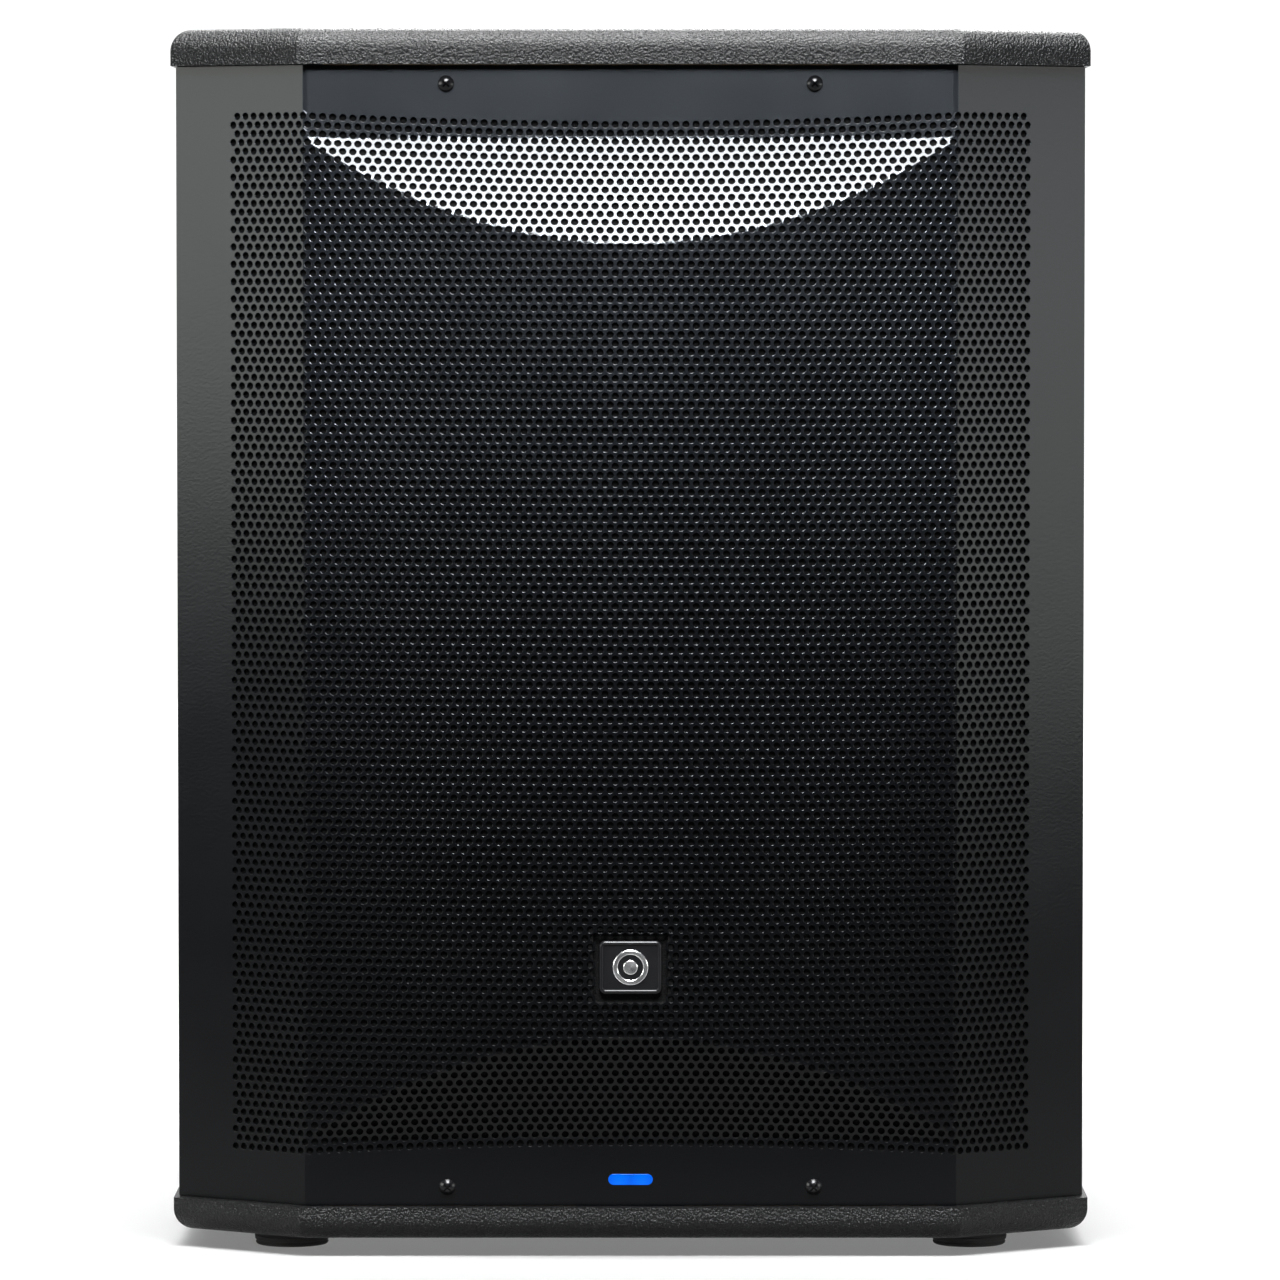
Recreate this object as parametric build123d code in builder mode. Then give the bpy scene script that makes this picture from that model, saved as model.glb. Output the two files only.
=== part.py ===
"""Active 18-inch PA subwoofer cabinet.

Millimetres. +Z is up and the front faces -Y. The origin is the centre of the cabinet's
footprint on the floor, level with the underside of the rubber feet.
"""

import os
from math import atan, cos, radians, sin, sqrt, tan

from build123d import *

# ---------------------------------------------------------------- driving dimensions
HEIGHT = 672.0  # floor to the top of the top plate
DEPTH = 600.0  # crown of the grille to the back edge of the plates
PLATE_WIDTH = 506.0
BODY_WIDTH = 501.0  # over the side panels and the grille's back edges
TOP_PLATE, BOTTOM_PLATE = 20.0, 18.0  # thickness of the top and bottom plates
PLATE_ROUND = 12.0  # roundover of their outer edges
PLATE_CORNER_X = 181.5  # half-width of the straight front edge of a plate
WALL = 15.0  # side panels, shelf, dividers and brace
BOARD = 18.0  # front baffle and back panel
FOOT_HEIGHT = 9.0

FOLD_X = 178.0  # half-width between the grille's two vertical folds
CHAMFER = 33.0  # degrees that the grille's side wings turn back
SHEET = 1.5  # grille steel
CROWN = 24.0  # how far the middle of the grille stands forward
FACET = 57.0  # height of the sloping facet above and below the crown
FACET_MARGIN_TOP = 40.0  # top plate to the upper facet's straight line
FACET_MARGIN_BOTTOM = 37.5
WING_MARGIN = 34.0  # plain strip along the back edge of each wing

WOOFER_Z = 412.0
WOOFER_RADIUS = 230.0
CUTOUT_RADIUS = 211.0

# ---------------------------------------------------------------- derived places
HALF_BODY = BODY_WIDTH / 2
HALF_PLATE = PLATE_WIDTH / 2
INNER_X = HALF_BODY - WALL
FRONT_CROWN = -DEPTH / 2
FRONT_SHEET = FRONT_CROWN + CROWN  # outer face of the grille's flat border
FRONT_PLATE = FRONT_SHEET - 8.0
BACK = DEPTH / 2
WING_DEPTH = (HALF_BODY - FOLD_X) * tan(radians(CHAMFER))
WING_BACK = FRONT_SHEET + WING_DEPTH
LIP = 8.0  # return lip of the grille along the side panels
PANEL_FRONT = WING_BACK + LIP + 0.3
BAFFLE_BACK = PANEL_FRONT + BOARD
FLOOR_Z = FOOT_HEIGHT + BOTTOM_PLATE  # inner face of the bottom plate
CEILING_Z = HEIGHT - TOP_PLATE
PANEL_BACK_OUT = BACK - 20.0  # the back panel sits 20 mm inside the plates' back edge
PANEL_BACK_IN = PANEL_BACK_OUT - BOARD

WOOFER_AXIS = Axis((0, 0, WOOFER_Z), (0, 1, 0))
RADIAL = Plane.XY.offset(WOOFER_Z)  # sketches here: x is the radius, y is the depth


def facing_front(y):
    """Plane at depth y. Its x is +X, its y is +Z, and extrude goes towards the front."""
    return Plane.XZ.offset(-y)


def box_between(low, high, mode=Mode.ADD):
    """A box given by two opposite corners."""
    size = [b - a for a, b in zip(low, high)]
    with Locations(tuple(low)):
        Box(*size, align=(Align.MIN, Align.MIN, Align.MIN), mode=mode)


def keep(builder, name):
    """Labels a finished piece and writes its STEP file."""
    builder.part.label = name
    export_step(builder.part, f"parts/{name}.step")


os.makedirs("parts", exist_ok=True)

# ================================================================ top and bottom plates
PLATE_WING_Y = FRONT_PLATE + (HALF_PLATE - PLATE_CORNER_X) * tan(radians(CHAMFER))
PLATE_OUTLINE = [
    (PLATE_CORNER_X, FRONT_PLATE),
    (HALF_PLATE, PLATE_WING_Y),
    (HALF_PLATE, BACK),
    (-HALF_PLATE, BACK),
    (-HALF_PLATE, PLATE_WING_Y),
    (-PLATE_CORNER_X, FRONT_PLATE),
]
POLE_PLATE = 110.0  # square flange of the pole mount
POLE_FLANGE = 3.0
POLE_BOSS_RADIUS = 17.0
POLE_BORE_RADIUS = 8.75  # M20 x 2.5 tapping size
POLE_BOSS_LENGTH = 45.0
POLE_SCREW_SPACING = 86.0
FOOT_X, FOOT_FRONT_Y, FOOT_BACK_Y = 188.0, -225.0, 245.0
FOOT_PLACES = [(x, y) for x in (-FOOT_X, FOOT_X) for y in (FOOT_FRONT_Y, FOOT_BACK_Y)]
FOOT_RADIUS = 21.0
FOOT_SCREW_RADIUS = 2.2


def plate_blank(z_low, thickness, rounded):
    """A plate with its outer edges rounded over on the top (rounded=1) or below (rounded=-1)."""
    with BuildPart() as blank:
        with BuildSketch(Plane.XY.offset(z_low)):
            with BuildLine():
                Polyline(*PLATE_OUTLINE, close=True)
            make_face()
        extrude(amount=thickness)
        fillet(blank.edges().filter_by(Axis.Z).group_by(Axis.Y)[-1], PLATE_ROUND + 2)
        outer_face = blank.faces().sort_by(Axis.Z)[-1 if rounded > 0 else 0]
        fillet(outer_face.edges(), PLATE_ROUND)
    return blank.part


with BuildPart() as top_plate:
    add(plate_blank(CEILING_Z, TOP_PLATE, 1))
    with BuildSketch(Plane.XY.offset(HEIGHT)):
        RectangleRounded(POLE_PLATE + 0.6, POLE_PLATE + 0.6, 8.3)
    extrude(amount=-POLE_FLANGE, mode=Mode.SUBTRACT)
    with Locations((0, 0, HEIGHT)):
        Hole(POLE_BOSS_RADIUS + 0.3)
        with GridLocations(POLE_SCREW_SPACING, POLE_SCREW_SPACING, 2, 2):
            Hole(FOOT_SCREW_RADIUS, depth=TOP_PLATE - 2)
keep(top_plate, "top_plate")

with BuildPart() as bottom_plate:
    add(plate_blank(FOOT_HEIGHT, BOTTOM_PLATE, -1))
    with BuildSketch(Plane.XY.offset(FOOT_HEIGHT)):
        with Locations(*FOOT_PLACES):
            Circle(FOOT_SCREW_RADIUS)
    extrude(amount=BOTTOM_PLATE - 2, mode=Mode.SUBTRACT)
keep(bottom_plate, "bottom_plate")

# ================================================================ side panels
HANDLE_Y, HANDLE_Z = 20.0, 400.0
CUP_LENGTH, CUP_HEIGHT, CUP_DEPTH = 176.0, 100.0, 58.0
CUP_WALL = 3.0
CUP_CORNER = 22.0
CUP_FLANGE_LENGTH, CUP_FLANGE_HEIGHT = 208.0, 132.0
HANDLE_SCREW_PLACES = [(dy, dz) for dz in (-58.0, 58.0) for dy in (-78.0, 0.0, 78.0)]
HANDLE_SCREW_RADIUS = 2.0
HANDLE_PLANE = Plane.YZ.offset(HALF_BODY)  # x is +Y, y is +Z, normal +X

with BuildPart() as side_panel_right:
    box_between((INNER_X, PANEL_FRONT, FLOOR_Z), (HALF_BODY, BACK, CEILING_Z))
    with BuildSketch(HANDLE_PLANE):
        with Locations((HANDLE_Y, HANDLE_Z)):
            RectangleRounded(CUP_LENGTH + 1, CUP_HEIGHT + 1, CUP_CORNER + 0.5)
    extrude(amount=-WALL, mode=Mode.SUBTRACT)
    with BuildSketch(HANDLE_PLANE):
        with Locations((HANDLE_Y, HANDLE_Z)):
            with Locations(*HANDLE_SCREW_PLACES):
                Circle(HANDLE_SCREW_RADIUS)
    extrude(amount=-WALL + 2, mode=Mode.SUBTRACT)
keep(side_panel_right, "side_panel_right")

with BuildPart() as side_panel_left:
    add(mirror(side_panel_right.part, about=Plane.YZ, mode=Mode.PRIVATE))
keep(side_panel_left, "side_panel_left")

# ================================================================ inner woodwork
SHELF_TOP = FLOOR_Z + 90.0  # the port's roof, below the baffle
SHELF_BACK = 30.0
DIVIDER_X = 78.0
BOLT_CIRCLE = 222.0
BOLT_RADIUS = 3.0
BOLT_COUNT = 8
BOLT_START = 180 / BOLT_COUNT

with BuildPart() as front_baffle:
    box_between((-INNER_X, PANEL_FRONT, SHELF_TOP), (INNER_X, BAFFLE_BACK, CEILING_Z))
    with BuildSketch(facing_front(BAFFLE_BACK)):
        with Locations((0, WOOFER_Z)):
            Circle(CUTOUT_RADIUS)
            with PolarLocations(BOLT_CIRCLE, BOLT_COUNT, BOLT_START):
                Circle(BOLT_RADIUS + 0.4)
    extrude(amount=BOARD, mode=Mode.SUBTRACT)
keep(front_baffle, "front_baffle")

with BuildPart() as port_shelf:
    box_between((-INNER_X, PANEL_FRONT, SHELF_TOP - WALL), (INNER_X, SHELF_BACK, SHELF_TOP))
    back_edge = port_shelf.edges().filter_by(Axis.X).group_by(Axis.Y)[-1]
    fillet(back_edge, 6)
keep(port_shelf, "port_shelf")

with BuildPart() as port_dividers:
    for x in (-DIVIDER_X, DIVIDER_X):
        low = (x - WALL / 2, PANEL_FRONT, FLOOR_Z)
        box_between(low, (x + WALL / 2, SHELF_BACK - 10, SHELF_TOP - WALL))
keep(port_dividers, "port_dividers")

BRACE_Y = 165.0
BRACE_RIM = 45.0
BRACE_MIDDLE_Z = 320.0
with BuildPart() as window_brace:
    box_between((-INNER_X, BRACE_Y, FLOOR_Z), (INNER_X, BRACE_Y + WALL, CEILING_Z))
    window_width = 2 * (INNER_X - BRACE_RIM)
    with BuildSketch(facing_front(BRACE_Y + WALL)):
        for z_low, z_high in (
            (FLOOR_Z + BRACE_RIM, BRACE_MIDDLE_Z - BRACE_RIM / 2),
            (BRACE_MIDDLE_Z + BRACE_RIM / 2, CEILING_Z - BRACE_RIM),
        ):
            with Locations((0, (z_low + z_high) / 2)):
                RectangleRounded(window_width, z_high - z_low, 30)
    extrude(amount=WALL, mode=Mode.SUBTRACT)
keep(window_brace, "window_brace")

AMP_HALF_WIDTH, AMP_LOW_Z, AMP_HIGH_Z = 130.0, 318.0, 585.0
AMP_CENTRE_Z = (AMP_LOW_Z + AMP_HIGH_Z) / 2
AMP_CUT_WIDTH, AMP_CUT_HEIGHT = 224.0, 250.0
AMP_SCREW_PLACES = [(s * 121.0, dz) for s in (-1, 1) for dz in (-124, -62, 0, 62, 124)]
AMP_SCREW_PLACES += [(0.0, -128.8), (0.0, 128.8)]

with BuildPart() as back_panel:
    box_between((-INNER_X, PANEL_BACK_IN, FLOOR_Z), (INNER_X, PANEL_BACK_OUT, CEILING_Z))
    with BuildSketch(facing_front(PANEL_BACK_OUT)):
        with Locations((0, AMP_CENTRE_Z)):
            RectangleRounded(AMP_CUT_WIDTH, AMP_CUT_HEIGHT, 6)
    extrude(amount=BOARD, mode=Mode.SUBTRACT)
    with BuildSketch(facing_front(PANEL_BACK_OUT)):
        with Locations((0, AMP_CENTRE_Z)):
            with Locations(*AMP_SCREW_PLACES):
                Circle(2.0)
    extrude(amount=BOARD - 2, mode=Mode.SUBTRACT)
keep(back_panel, "back_panel")

GRILLE_SCREW_X = 100.5
GRILLE_SCREW_INSET = 10.5  # from the plates to the screw centres
GRILLE_SCREW_PLACES = [
    (x, z)
    for x in (-GRILLE_SCREW_X, GRILLE_SCREW_X)
    for z in (FLOOR_Z + GRILLE_SCREW_INSET, CEILING_Z - GRILLE_SCREW_INSET)
]
CLEAT = 21.0
CLEAT_HALF_LENGTH = 168.0
LED_Z = FLOOR_Z + 14.6
LED_BOARD_HALF = 30.0
CLEAT_FRONT = FRONT_SHEET + SHEET

with BuildPart() as grille_cleats:
    cleat_back = CLEAT_FRONT + CLEAT
    box_between(
        (-CLEAT_HALF_LENGTH, CLEAT_FRONT, CEILING_Z - CLEAT),
        (CLEAT_HALF_LENGTH, cleat_back, CEILING_Z),
    )
    for x_low, x_high in (
        (-CLEAT_HALF_LENGTH, -LED_BOARD_HALF),
        (LED_BOARD_HALF, CLEAT_HALF_LENGTH),
    ):
        box_between((x_low, CLEAT_FRONT, FLOOR_Z), (x_high, cleat_back, FLOOR_Z + CLEAT))
    with BuildSketch(facing_front(cleat_back)):
        with Locations(*GRILLE_SCREW_PLACES):
            Circle(2.0)
    extrude(amount=CLEAT, mode=Mode.SUBTRACT)
keep(grille_cleats, "grille_cleats")

# ================================================================ grille and its foam
SLOPE = atan(CROWN / FACET)
FACET_TOP_Z = CEILING_Z - FACET_MARGIN_TOP
FACET_BOTTOM_Z = FLOOR_Z + FACET_MARGIN_BOTTOM
CROWN_RADIUS = (FOLD_X**2 + CROWN**2) / (2 * CROWN)
CROWN_CENTRE_Y = FRONT_CROWN + CROWN_RADIUS
CHAMBER_BACK = WING_BACK + LIP


def wing_point(inset, y):
    """The wing's plane, moved inwards by inset, where it crosses depth y."""
    a = radians(CHAMFER)
    return FOLD_X + ((y - FRONT_SHEET) * cos(a) - inset) / sin(a)


def crown_solid(inset, z_low, z_high):
    """The crown alone: an upright cylinder cut off above and below by the sloping facets."""
    flat_y = FRONT_SHEET + inset
    reach = CROWN + 10
    bend_shift = inset * tan(SLOPE / 2)
    top_z, bottom_z = FACET_TOP_Z - bend_shift, FACET_BOTTOM_Z + bend_shift
    with BuildPart() as crown:
        with BuildSketch(Plane.XY.offset(z_low)):
            with Locations((0, CROWN_CENTRE_Y)):
                Circle(CROWN_RADIUS - inset)
            with Locations((0, flat_y + 10)):
                Rectangle(
                    4 * CROWN_RADIUS,
                    3 * CROWN_RADIUS,
                    align=(Align.CENTER, Align.MIN),
                    mode=Mode.SUBTRACT,
                )
        extrude(amount=z_high - z_low)
        with BuildSketch(Plane.YZ.offset(-FOLD_X)):
            with BuildLine():
                Polyline(
                    (flat_y - reach, top_z - reach / tan(SLOPE)),
                    (flat_y + 10, top_z + 10 / tan(SLOPE)),
                    (flat_y + 10, bottom_z - 10 / tan(SLOPE)),
                    (flat_y - reach, bottom_z + reach / tan(SLOPE)),
                    close=True,
                )
            make_face()
        extrude(amount=2 * FOLD_X, mode=Mode.INTERSECT)
    return crown.part


def chamber(inset, z_low, z_high):
    """The space inside the grille's outer face, shrunk by inset: wings, flat border and crown."""
    flat_y = FRONT_SHEET + inset
    side_x = HALF_BODY - inset
    slant = radians(CHAMFER)
    wing_end_y = FRONT_SHEET + ((side_x - FOLD_X) * sin(slant) + inset) / cos(slant)
    fold_x = wing_point(inset, flat_y)
    with BuildPart() as body:
        with BuildSketch(Plane.XY.offset(z_low)):
            with BuildLine():
                Polyline(
                    (-side_x, CHAMBER_BACK),
                    (-side_x, wing_end_y),
                    (-fold_x, flat_y),
                    (fold_x, flat_y),
                    (side_x, wing_end_y),
                    (side_x, CHAMBER_BACK),
                    close=True,
                )
            make_face()
        extrude(amount=z_high - z_low)
        add(crown_solid(inset, z_low, z_high))
    return body.part


BADGE_Z = 160.4
POCKET_WIDTH, POCKET_HEIGHT, POCKET_DEPTH = 38.0, 37.0, 4.0
POCKET_FLOOR_Y = FRONT_CROWN + POCKET_DEPTH
LED_LENGTH, LED_HEIGHT = 24.0, 5.6
GRILLE_GAP = 0.4  # clearance above and below, between the sheet and the plates

with BuildPart() as grille:
    add(chamber(0, FLOOR_Z + GRILLE_GAP, CEILING_Z - GRILLE_GAP))
    add(chamber(SHEET, FLOOR_Z, CEILING_Z), mode=Mode.SUBTRACT)
    box_between(
        (-POCKET_WIDTH / 2 - SHEET, FRONT_CROWN + 0.8, BADGE_Z - POCKET_HEIGHT / 2 - SHEET),
        (POCKET_WIDTH / 2 + SHEET, POCKET_FLOOR_Y + SHEET, BADGE_Z + POCKET_HEIGHT / 2 + SHEET),
    )
    box_between(
        (-POCKET_WIDTH / 2, FRONT_CROWN - 5, BADGE_Z - POCKET_HEIGHT / 2),
        (POCKET_WIDTH / 2, POCKET_FLOOR_Y, BADGE_Z + POCKET_HEIGHT / 2),
        mode=Mode.SUBTRACT,
    )
    with BuildSketch(facing_front(FRONT_SHEET + SHEET + 1)):
        with Locations((0, LED_Z)):
            SlotOverall(LED_LENGTH, LED_HEIGHT)
        with Locations(*GRILLE_SCREW_PLACES):
            Circle(2.3)
    extrude(amount=SHEET + 2, mode=Mode.SUBTRACT)
keep(grille, "grille")

FOAM_GAP, FOAM = 0.3, 5.0
FOAM_LOW_Z, FOAM_HIGH_Z = FLOOR_Z + CLEAT + 1, CEILING_Z - CLEAT - 1
FOAM_HALF_WIDTH = HALF_BODY - WING_MARGIN * cos(radians(CHAMFER)) + 8
with BuildPart() as grille_foam:
    add(chamber(SHEET + FOAM_GAP, FOAM_LOW_Z, FOAM_HIGH_Z))
    add(chamber(SHEET + FOAM_GAP + FOAM, FOAM_LOW_Z - 1, FOAM_HIGH_Z + 1), mode=Mode.SUBTRACT)
    box_between(
        (-FOAM_HALF_WIDTH, FRONT_CROWN - 1, FOAM_LOW_Z),
        (FOAM_HALF_WIDTH, CHAMBER_BACK, FOAM_HIGH_Z),
        mode=Mode.INTERSECT,
    )
    pocket_room = SHEET + 1.0
    box_between(
        (-POCKET_WIDTH / 2 - pocket_room, FRONT_CROWN, BADGE_Z - POCKET_HEIGHT / 2 - pocket_room),
        (POCKET_WIDTH / 2 + pocket_room, 0, BADGE_Z + POCKET_HEIGHT / 2 + pocket_room),
        mode=Mode.SUBTRACT,
    )
keep(grille_foam, "grille_foam")

# ================================================================ screws


def screw(head_radius, head_height, shank_radius, shank_length, cross=3.0):
    """A domed cross-head screw. It stands along +Z with the head's underside at z = 0."""
    rim = head_height * 0.3
    sag = head_height - rim
    dome = (head_radius**2 + sag**2) / (2 * sag)
    halfway = head_height - dome + sqrt(dome**2 - head_radius**2 / 4)
    with BuildPart() as one:
        with BuildSketch(Plane.XZ):
            with BuildLine():
                Line((0, -shank_length), (shank_radius, -shank_length + 1))
                Line((shank_radius, -shank_length + 1), (shank_radius, 0))
                Line((shank_radius, 0), (head_radius, 0))
                Line((head_radius, 0), (head_radius, rim))
                ThreePointArc((head_radius, rim), (head_radius / 2, halfway), (0, head_height))
                Line((0, head_height), (0, -shank_length))
            make_face()
        revolve(axis=Axis.Z)
        with BuildSketch(Plane.XY.offset(head_height)):
            for turn in (45, 135):
                Rectangle(cross * 1.6, cross * 0.28, rotation=turn)
        extrude(amount=-head_height * 0.7, mode=Mode.SUBTRACT)
    return one.part


def screws_on(plane, places, one):
    """Copies of one screw, heads pointing along the plane's normal."""
    with BuildPart(plane) as group:
        with Locations(*places):
            add(one)
    return group


PAN_HEAD = screw(4.5, 3.2, 1.9, 20)
grille_screws = screws_on(facing_front(FRONT_SHEET), GRILLE_SCREW_PLACES, PAN_HEAD)

# ================================================================ badge and front light
BADGE_WIDTH, BADGE_HEIGHT, BADGE_THICK = 34.0, 29.0, 3.6
BADGE_FACE_Y = POCKET_FLOOR_Y - BADGE_THICK + 0.8

with BuildPart() as badge_plate:
    with BuildSketch(facing_front(POCKET_FLOOR_Y)):
        with Locations((0, BADGE_Z)):
            RectangleRounded(BADGE_WIDTH, BADGE_HEIGHT, 3)
    extrude(amount=BADGE_THICK)
    front_edges = badge_plate.faces().sort_by(Axis.Y)[0].edges()
    fillet(front_edges, 0.8)
    with BuildSketch(facing_front(POCKET_FLOOR_Y - BADGE_THICK)):
        with Locations((0, BADGE_Z)):
            RectangleRounded(BADGE_WIDTH - 4, BADGE_HEIGHT - 4, 1.6)
    extrude(amount=-0.8, mode=Mode.SUBTRACT)
keep(badge_plate, "badge_plate")

with BuildPart() as badge_emblem:
    with BuildSketch(facing_front(BADGE_FACE_Y)):
        with Locations((0, BADGE_Z)):
            Circle(9.5)
            Circle(7.0, mode=Mode.SUBTRACT)
            Circle(3.6)
    extrude(amount=0.6)
keep(badge_emblem, "badge_emblem")

LENS_BACK_Y = CLEAT_FRONT + 6.0
with BuildPart() as led_lens:
    with BuildSketch(facing_front(LENS_BACK_Y)):
        with Locations((0, LED_Z)):
            SlotOverall(LED_LENGTH - 0.4, LED_HEIGHT - 0.4)
    extrude(amount=LENS_BACK_Y - FRONT_SHEET + 0.3)
    with BuildSketch(facing_front(CLEAT_FRONT + 2)):
        with Locations((0, LED_Z)):
            SlotOverall(LED_LENGTH + 7, LED_HEIGHT + 5)
    extrude(amount=2)
keep(led_lens, "led_lens")

with BuildPart() as led_board:
    board_low = (-LED_BOARD_HALF, LENS_BACK_Y, LED_Z - 9)
    box_between(board_low, (LED_BOARD_HALF, LENS_BACK_Y + 1.6, LED_Z + 9))
    for x in (-18, 18):
        with Locations((x, LENS_BACK_Y + 1.6 + 1.5, LED_Z)):
            Box(5, 3, 4)
keep(led_board, "led_board")

# ================================================================ feet and pole mount
FOOT_RECESS = 4.0
with BuildPart() as rubber_feet:
    with BuildSketch(Plane.XY.offset(FOOT_HEIGHT)):
        with Locations(*FOOT_PLACES):
            Circle(FOOT_RADIUS)
    extrude(amount=-FOOT_HEIGHT, taper=8)
    fillet(rubber_feet.faces().group_by(Axis.Z)[0].edges(), 1.2)
    with BuildSketch(Plane.XY):
        with Locations(*FOOT_PLACES):
            Circle(8.5)
    extrude(amount=FOOT_RECESS, mode=Mode.SUBTRACT)
    with BuildSketch(Plane.XY):
        with Locations(*FOOT_PLACES):
            Circle(FOOT_SCREW_RADIUS)
    extrude(amount=FOOT_HEIGHT, mode=Mode.SUBTRACT)
keep(rubber_feet, "rubber_feet")

foot_plane = Plane(origin=(0, 0, FOOT_RECESS), x_dir=(1, 0, 0), z_dir=(0, 0, -1))
foot_screws = screws_on(
    foot_plane, [(x, -y) for x, y in FOOT_PLACES], screw(7.5, 2.6, 2.1, 20, cross=4)
)
keep(foot_screws, "foot_screws")

POLE_SCREW_HEAD = 4.2
with BuildPart() as pole_mount:
    with BuildSketch(Plane.XY.offset(HEIGHT - POLE_FLANGE)):
        RectangleRounded(POLE_PLATE, POLE_PLATE, 8)
    extrude(amount=POLE_FLANGE)
    with BuildSketch(Plane.XY.offset(HEIGHT - POLE_FLANGE)):
        Circle(POLE_BOSS_RADIUS)
    extrude(amount=-POLE_BOSS_LENGTH)
    with Locations((0, 0, HEIGHT)):
        Hole(POLE_BORE_RADIUS)
        with GridLocations(POLE_SCREW_SPACING, POLE_SCREW_SPACING, 2, 2):
            CounterSinkHole(2.3, POLE_SCREW_HEAD)
keep(pole_mount, "pole_mount")


def flush_screw(head_radius, shank_radius, shank_length, cross):
    """A countersunk cross-head screw along +Z, its head's flat top at z = 0."""
    sink = head_radius - shank_radius
    with BuildPart() as one:
        with BuildSketch(Plane.XZ):
            with BuildLine():
                Polyline(
                    (0, -shank_length),
                    (shank_radius, -shank_length + 1),
                    (shank_radius, -sink),
                    (head_radius, 0),
                    (0, 0),
                    close=True,
                )
            make_face()
        revolve(axis=Axis.Z)
        with BuildSketch(Plane.XY):
            for turn in (45, 135):
                Rectangle(cross * 1.6, cross * 0.28, rotation=turn)
        extrude(amount=-sink * 0.8, mode=Mode.SUBTRACT)
    return one.part


pole_square = POLE_SCREW_SPACING / 2
FLUSH_HEAD = flush_screw(3.8, 1.8, 14, 2.6)
pole_mount_screws = screws_on(
    Plane.XY.offset(HEIGHT - 0.1),
    [(x, y) for x in (-pole_square, pole_square) for y in (-pole_square, pole_square)],
    FLUSH_HEAD,
)

# ================================================================ handles
GRIP_RADIUS = 10.0
GRIP_X = HALF_BODY - 12.0
GRIP_Z = HANDLE_Z + 18.0

with BuildPart() as cup_hollow:
    with BuildSketch(HANDLE_PLANE.offset(CUP_WALL)):
        with Locations((HANDLE_Y, HANDLE_Z)):
            RectangleRounded(
                CUP_LENGTH - 2 * CUP_WALL, CUP_HEIGHT - 2 * CUP_WALL, CUP_CORNER - CUP_WALL
            )
    extrude(amount=-CUP_DEPTH)
    fillet(cup_hollow.faces().sort_by(Axis.X)[0].edges(), 7)

with BuildPart() as handle_cup_right:
    with BuildSketch(HANDLE_PLANE):
        with Locations((HANDLE_Y, HANDLE_Z)):
            RectangleRounded(CUP_FLANGE_LENGTH, CUP_FLANGE_HEIGHT, 16)
    extrude(amount=CUP_WALL)
    fillet(handle_cup_right.faces().sort_by(Axis.X)[-1].edges(), 1.5)
    with BuildSketch(HANDLE_PLANE):
        with Locations((HANDLE_Y, HANDLE_Z)):
            RectangleRounded(CUP_LENGTH, CUP_HEIGHT, CUP_CORNER)
    extrude(amount=-CUP_DEPTH)
    fillet(handle_cup_right.faces().sort_by(Axis.X)[0].edges(), 10)
    add(cup_hollow.part, mode=Mode.SUBTRACT)
    with Locations(HANDLE_PLANE.offset(CUP_WALL)):
        with Locations((HANDLE_Y, HANDLE_Z)):
            with Locations(*HANDLE_SCREW_PLACES):
                CounterSinkHole(2.2, 4.1, depth=CUP_WALL + 1)
keep(handle_cup_right, "handle_cup_right")

GRIP_HALF = CUP_LENGTH / 2 - CUP_WALL
with BuildPart() as grip_right:
    with Locations((GRIP_X, HANDLE_Y, GRIP_Z)):
        Cylinder(GRIP_RADIUS - 2, 2 * GRIP_HALF, rotation=(90, 0, 0))
        Cylinder(GRIP_RADIUS, 2 * GRIP_HALF - 24, rotation=(90, 0, 0))
    sleeve_rims = grip_right.edges().filter_by(GeomType.CIRCLE)
    fillet(sleeve_rims.filter_by(lambda rim: abs(rim.radius - GRIP_RADIUS) < 0.01), 1.6)

with BuildPart() as handle_grips:
    add(grip_right.part)
    add(mirror(grip_right.part, about=Plane.YZ, mode=Mode.PRIVATE))
keep(handle_grips, "handle_grips")

with BuildPart() as handle_cup_left:
    add(mirror(handle_cup_right.part, about=Plane.YZ, mode=Mode.PRIVATE))
keep(handle_cup_left, "handle_cup_left")

right_screws = screws_on(
    HANDLE_PLANE.offset(CUP_WALL - 0.1),
    [(HANDLE_Y + dy, HANDLE_Z + dz) for dy, dz in HANDLE_SCREW_PLACES],
    FLUSH_HEAD,
)
with BuildPart() as countersunk_screws:
    add(pole_mount_screws.part)
    add(right_screws.part)
    add(mirror(right_screws.part, about=Plane.YZ, mode=Mode.PRIVATE))
keep(countersunk_screws, "countersunk_screws")

# ================================================================ woofer
FLANGE_FRONT = PANEL_FRONT - 8.0
FLANGE_INNER = 203.0
LEDGE_Y = PANEL_FRONT + 104.5  # face that the spider is glued to
TOP_PLATE_Y = PANEL_FRONT + 146.5
TOP_PLATE_THICK, MAGNET_THICK, YOKE_THICK = 12.0, 25.0, 14.0
MAGNET_Y = TOP_PLATE_Y + TOP_PLATE_THICK
YOKE_Y = MAGNET_Y + MAGNET_THICK
COIL_RADIUS = 50.0
HUB_RADIUS = 110.0


def ring_part(points):
    """A turned part about the woofer's axis, from (radius, depth) points."""
    with BuildPart() as turned:
        with BuildSketch(RADIAL):
            with BuildLine():
                Polyline(*points, close=True)
            make_face()
        revolve(axis=WOOFER_AXIS)
    return turned


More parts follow.
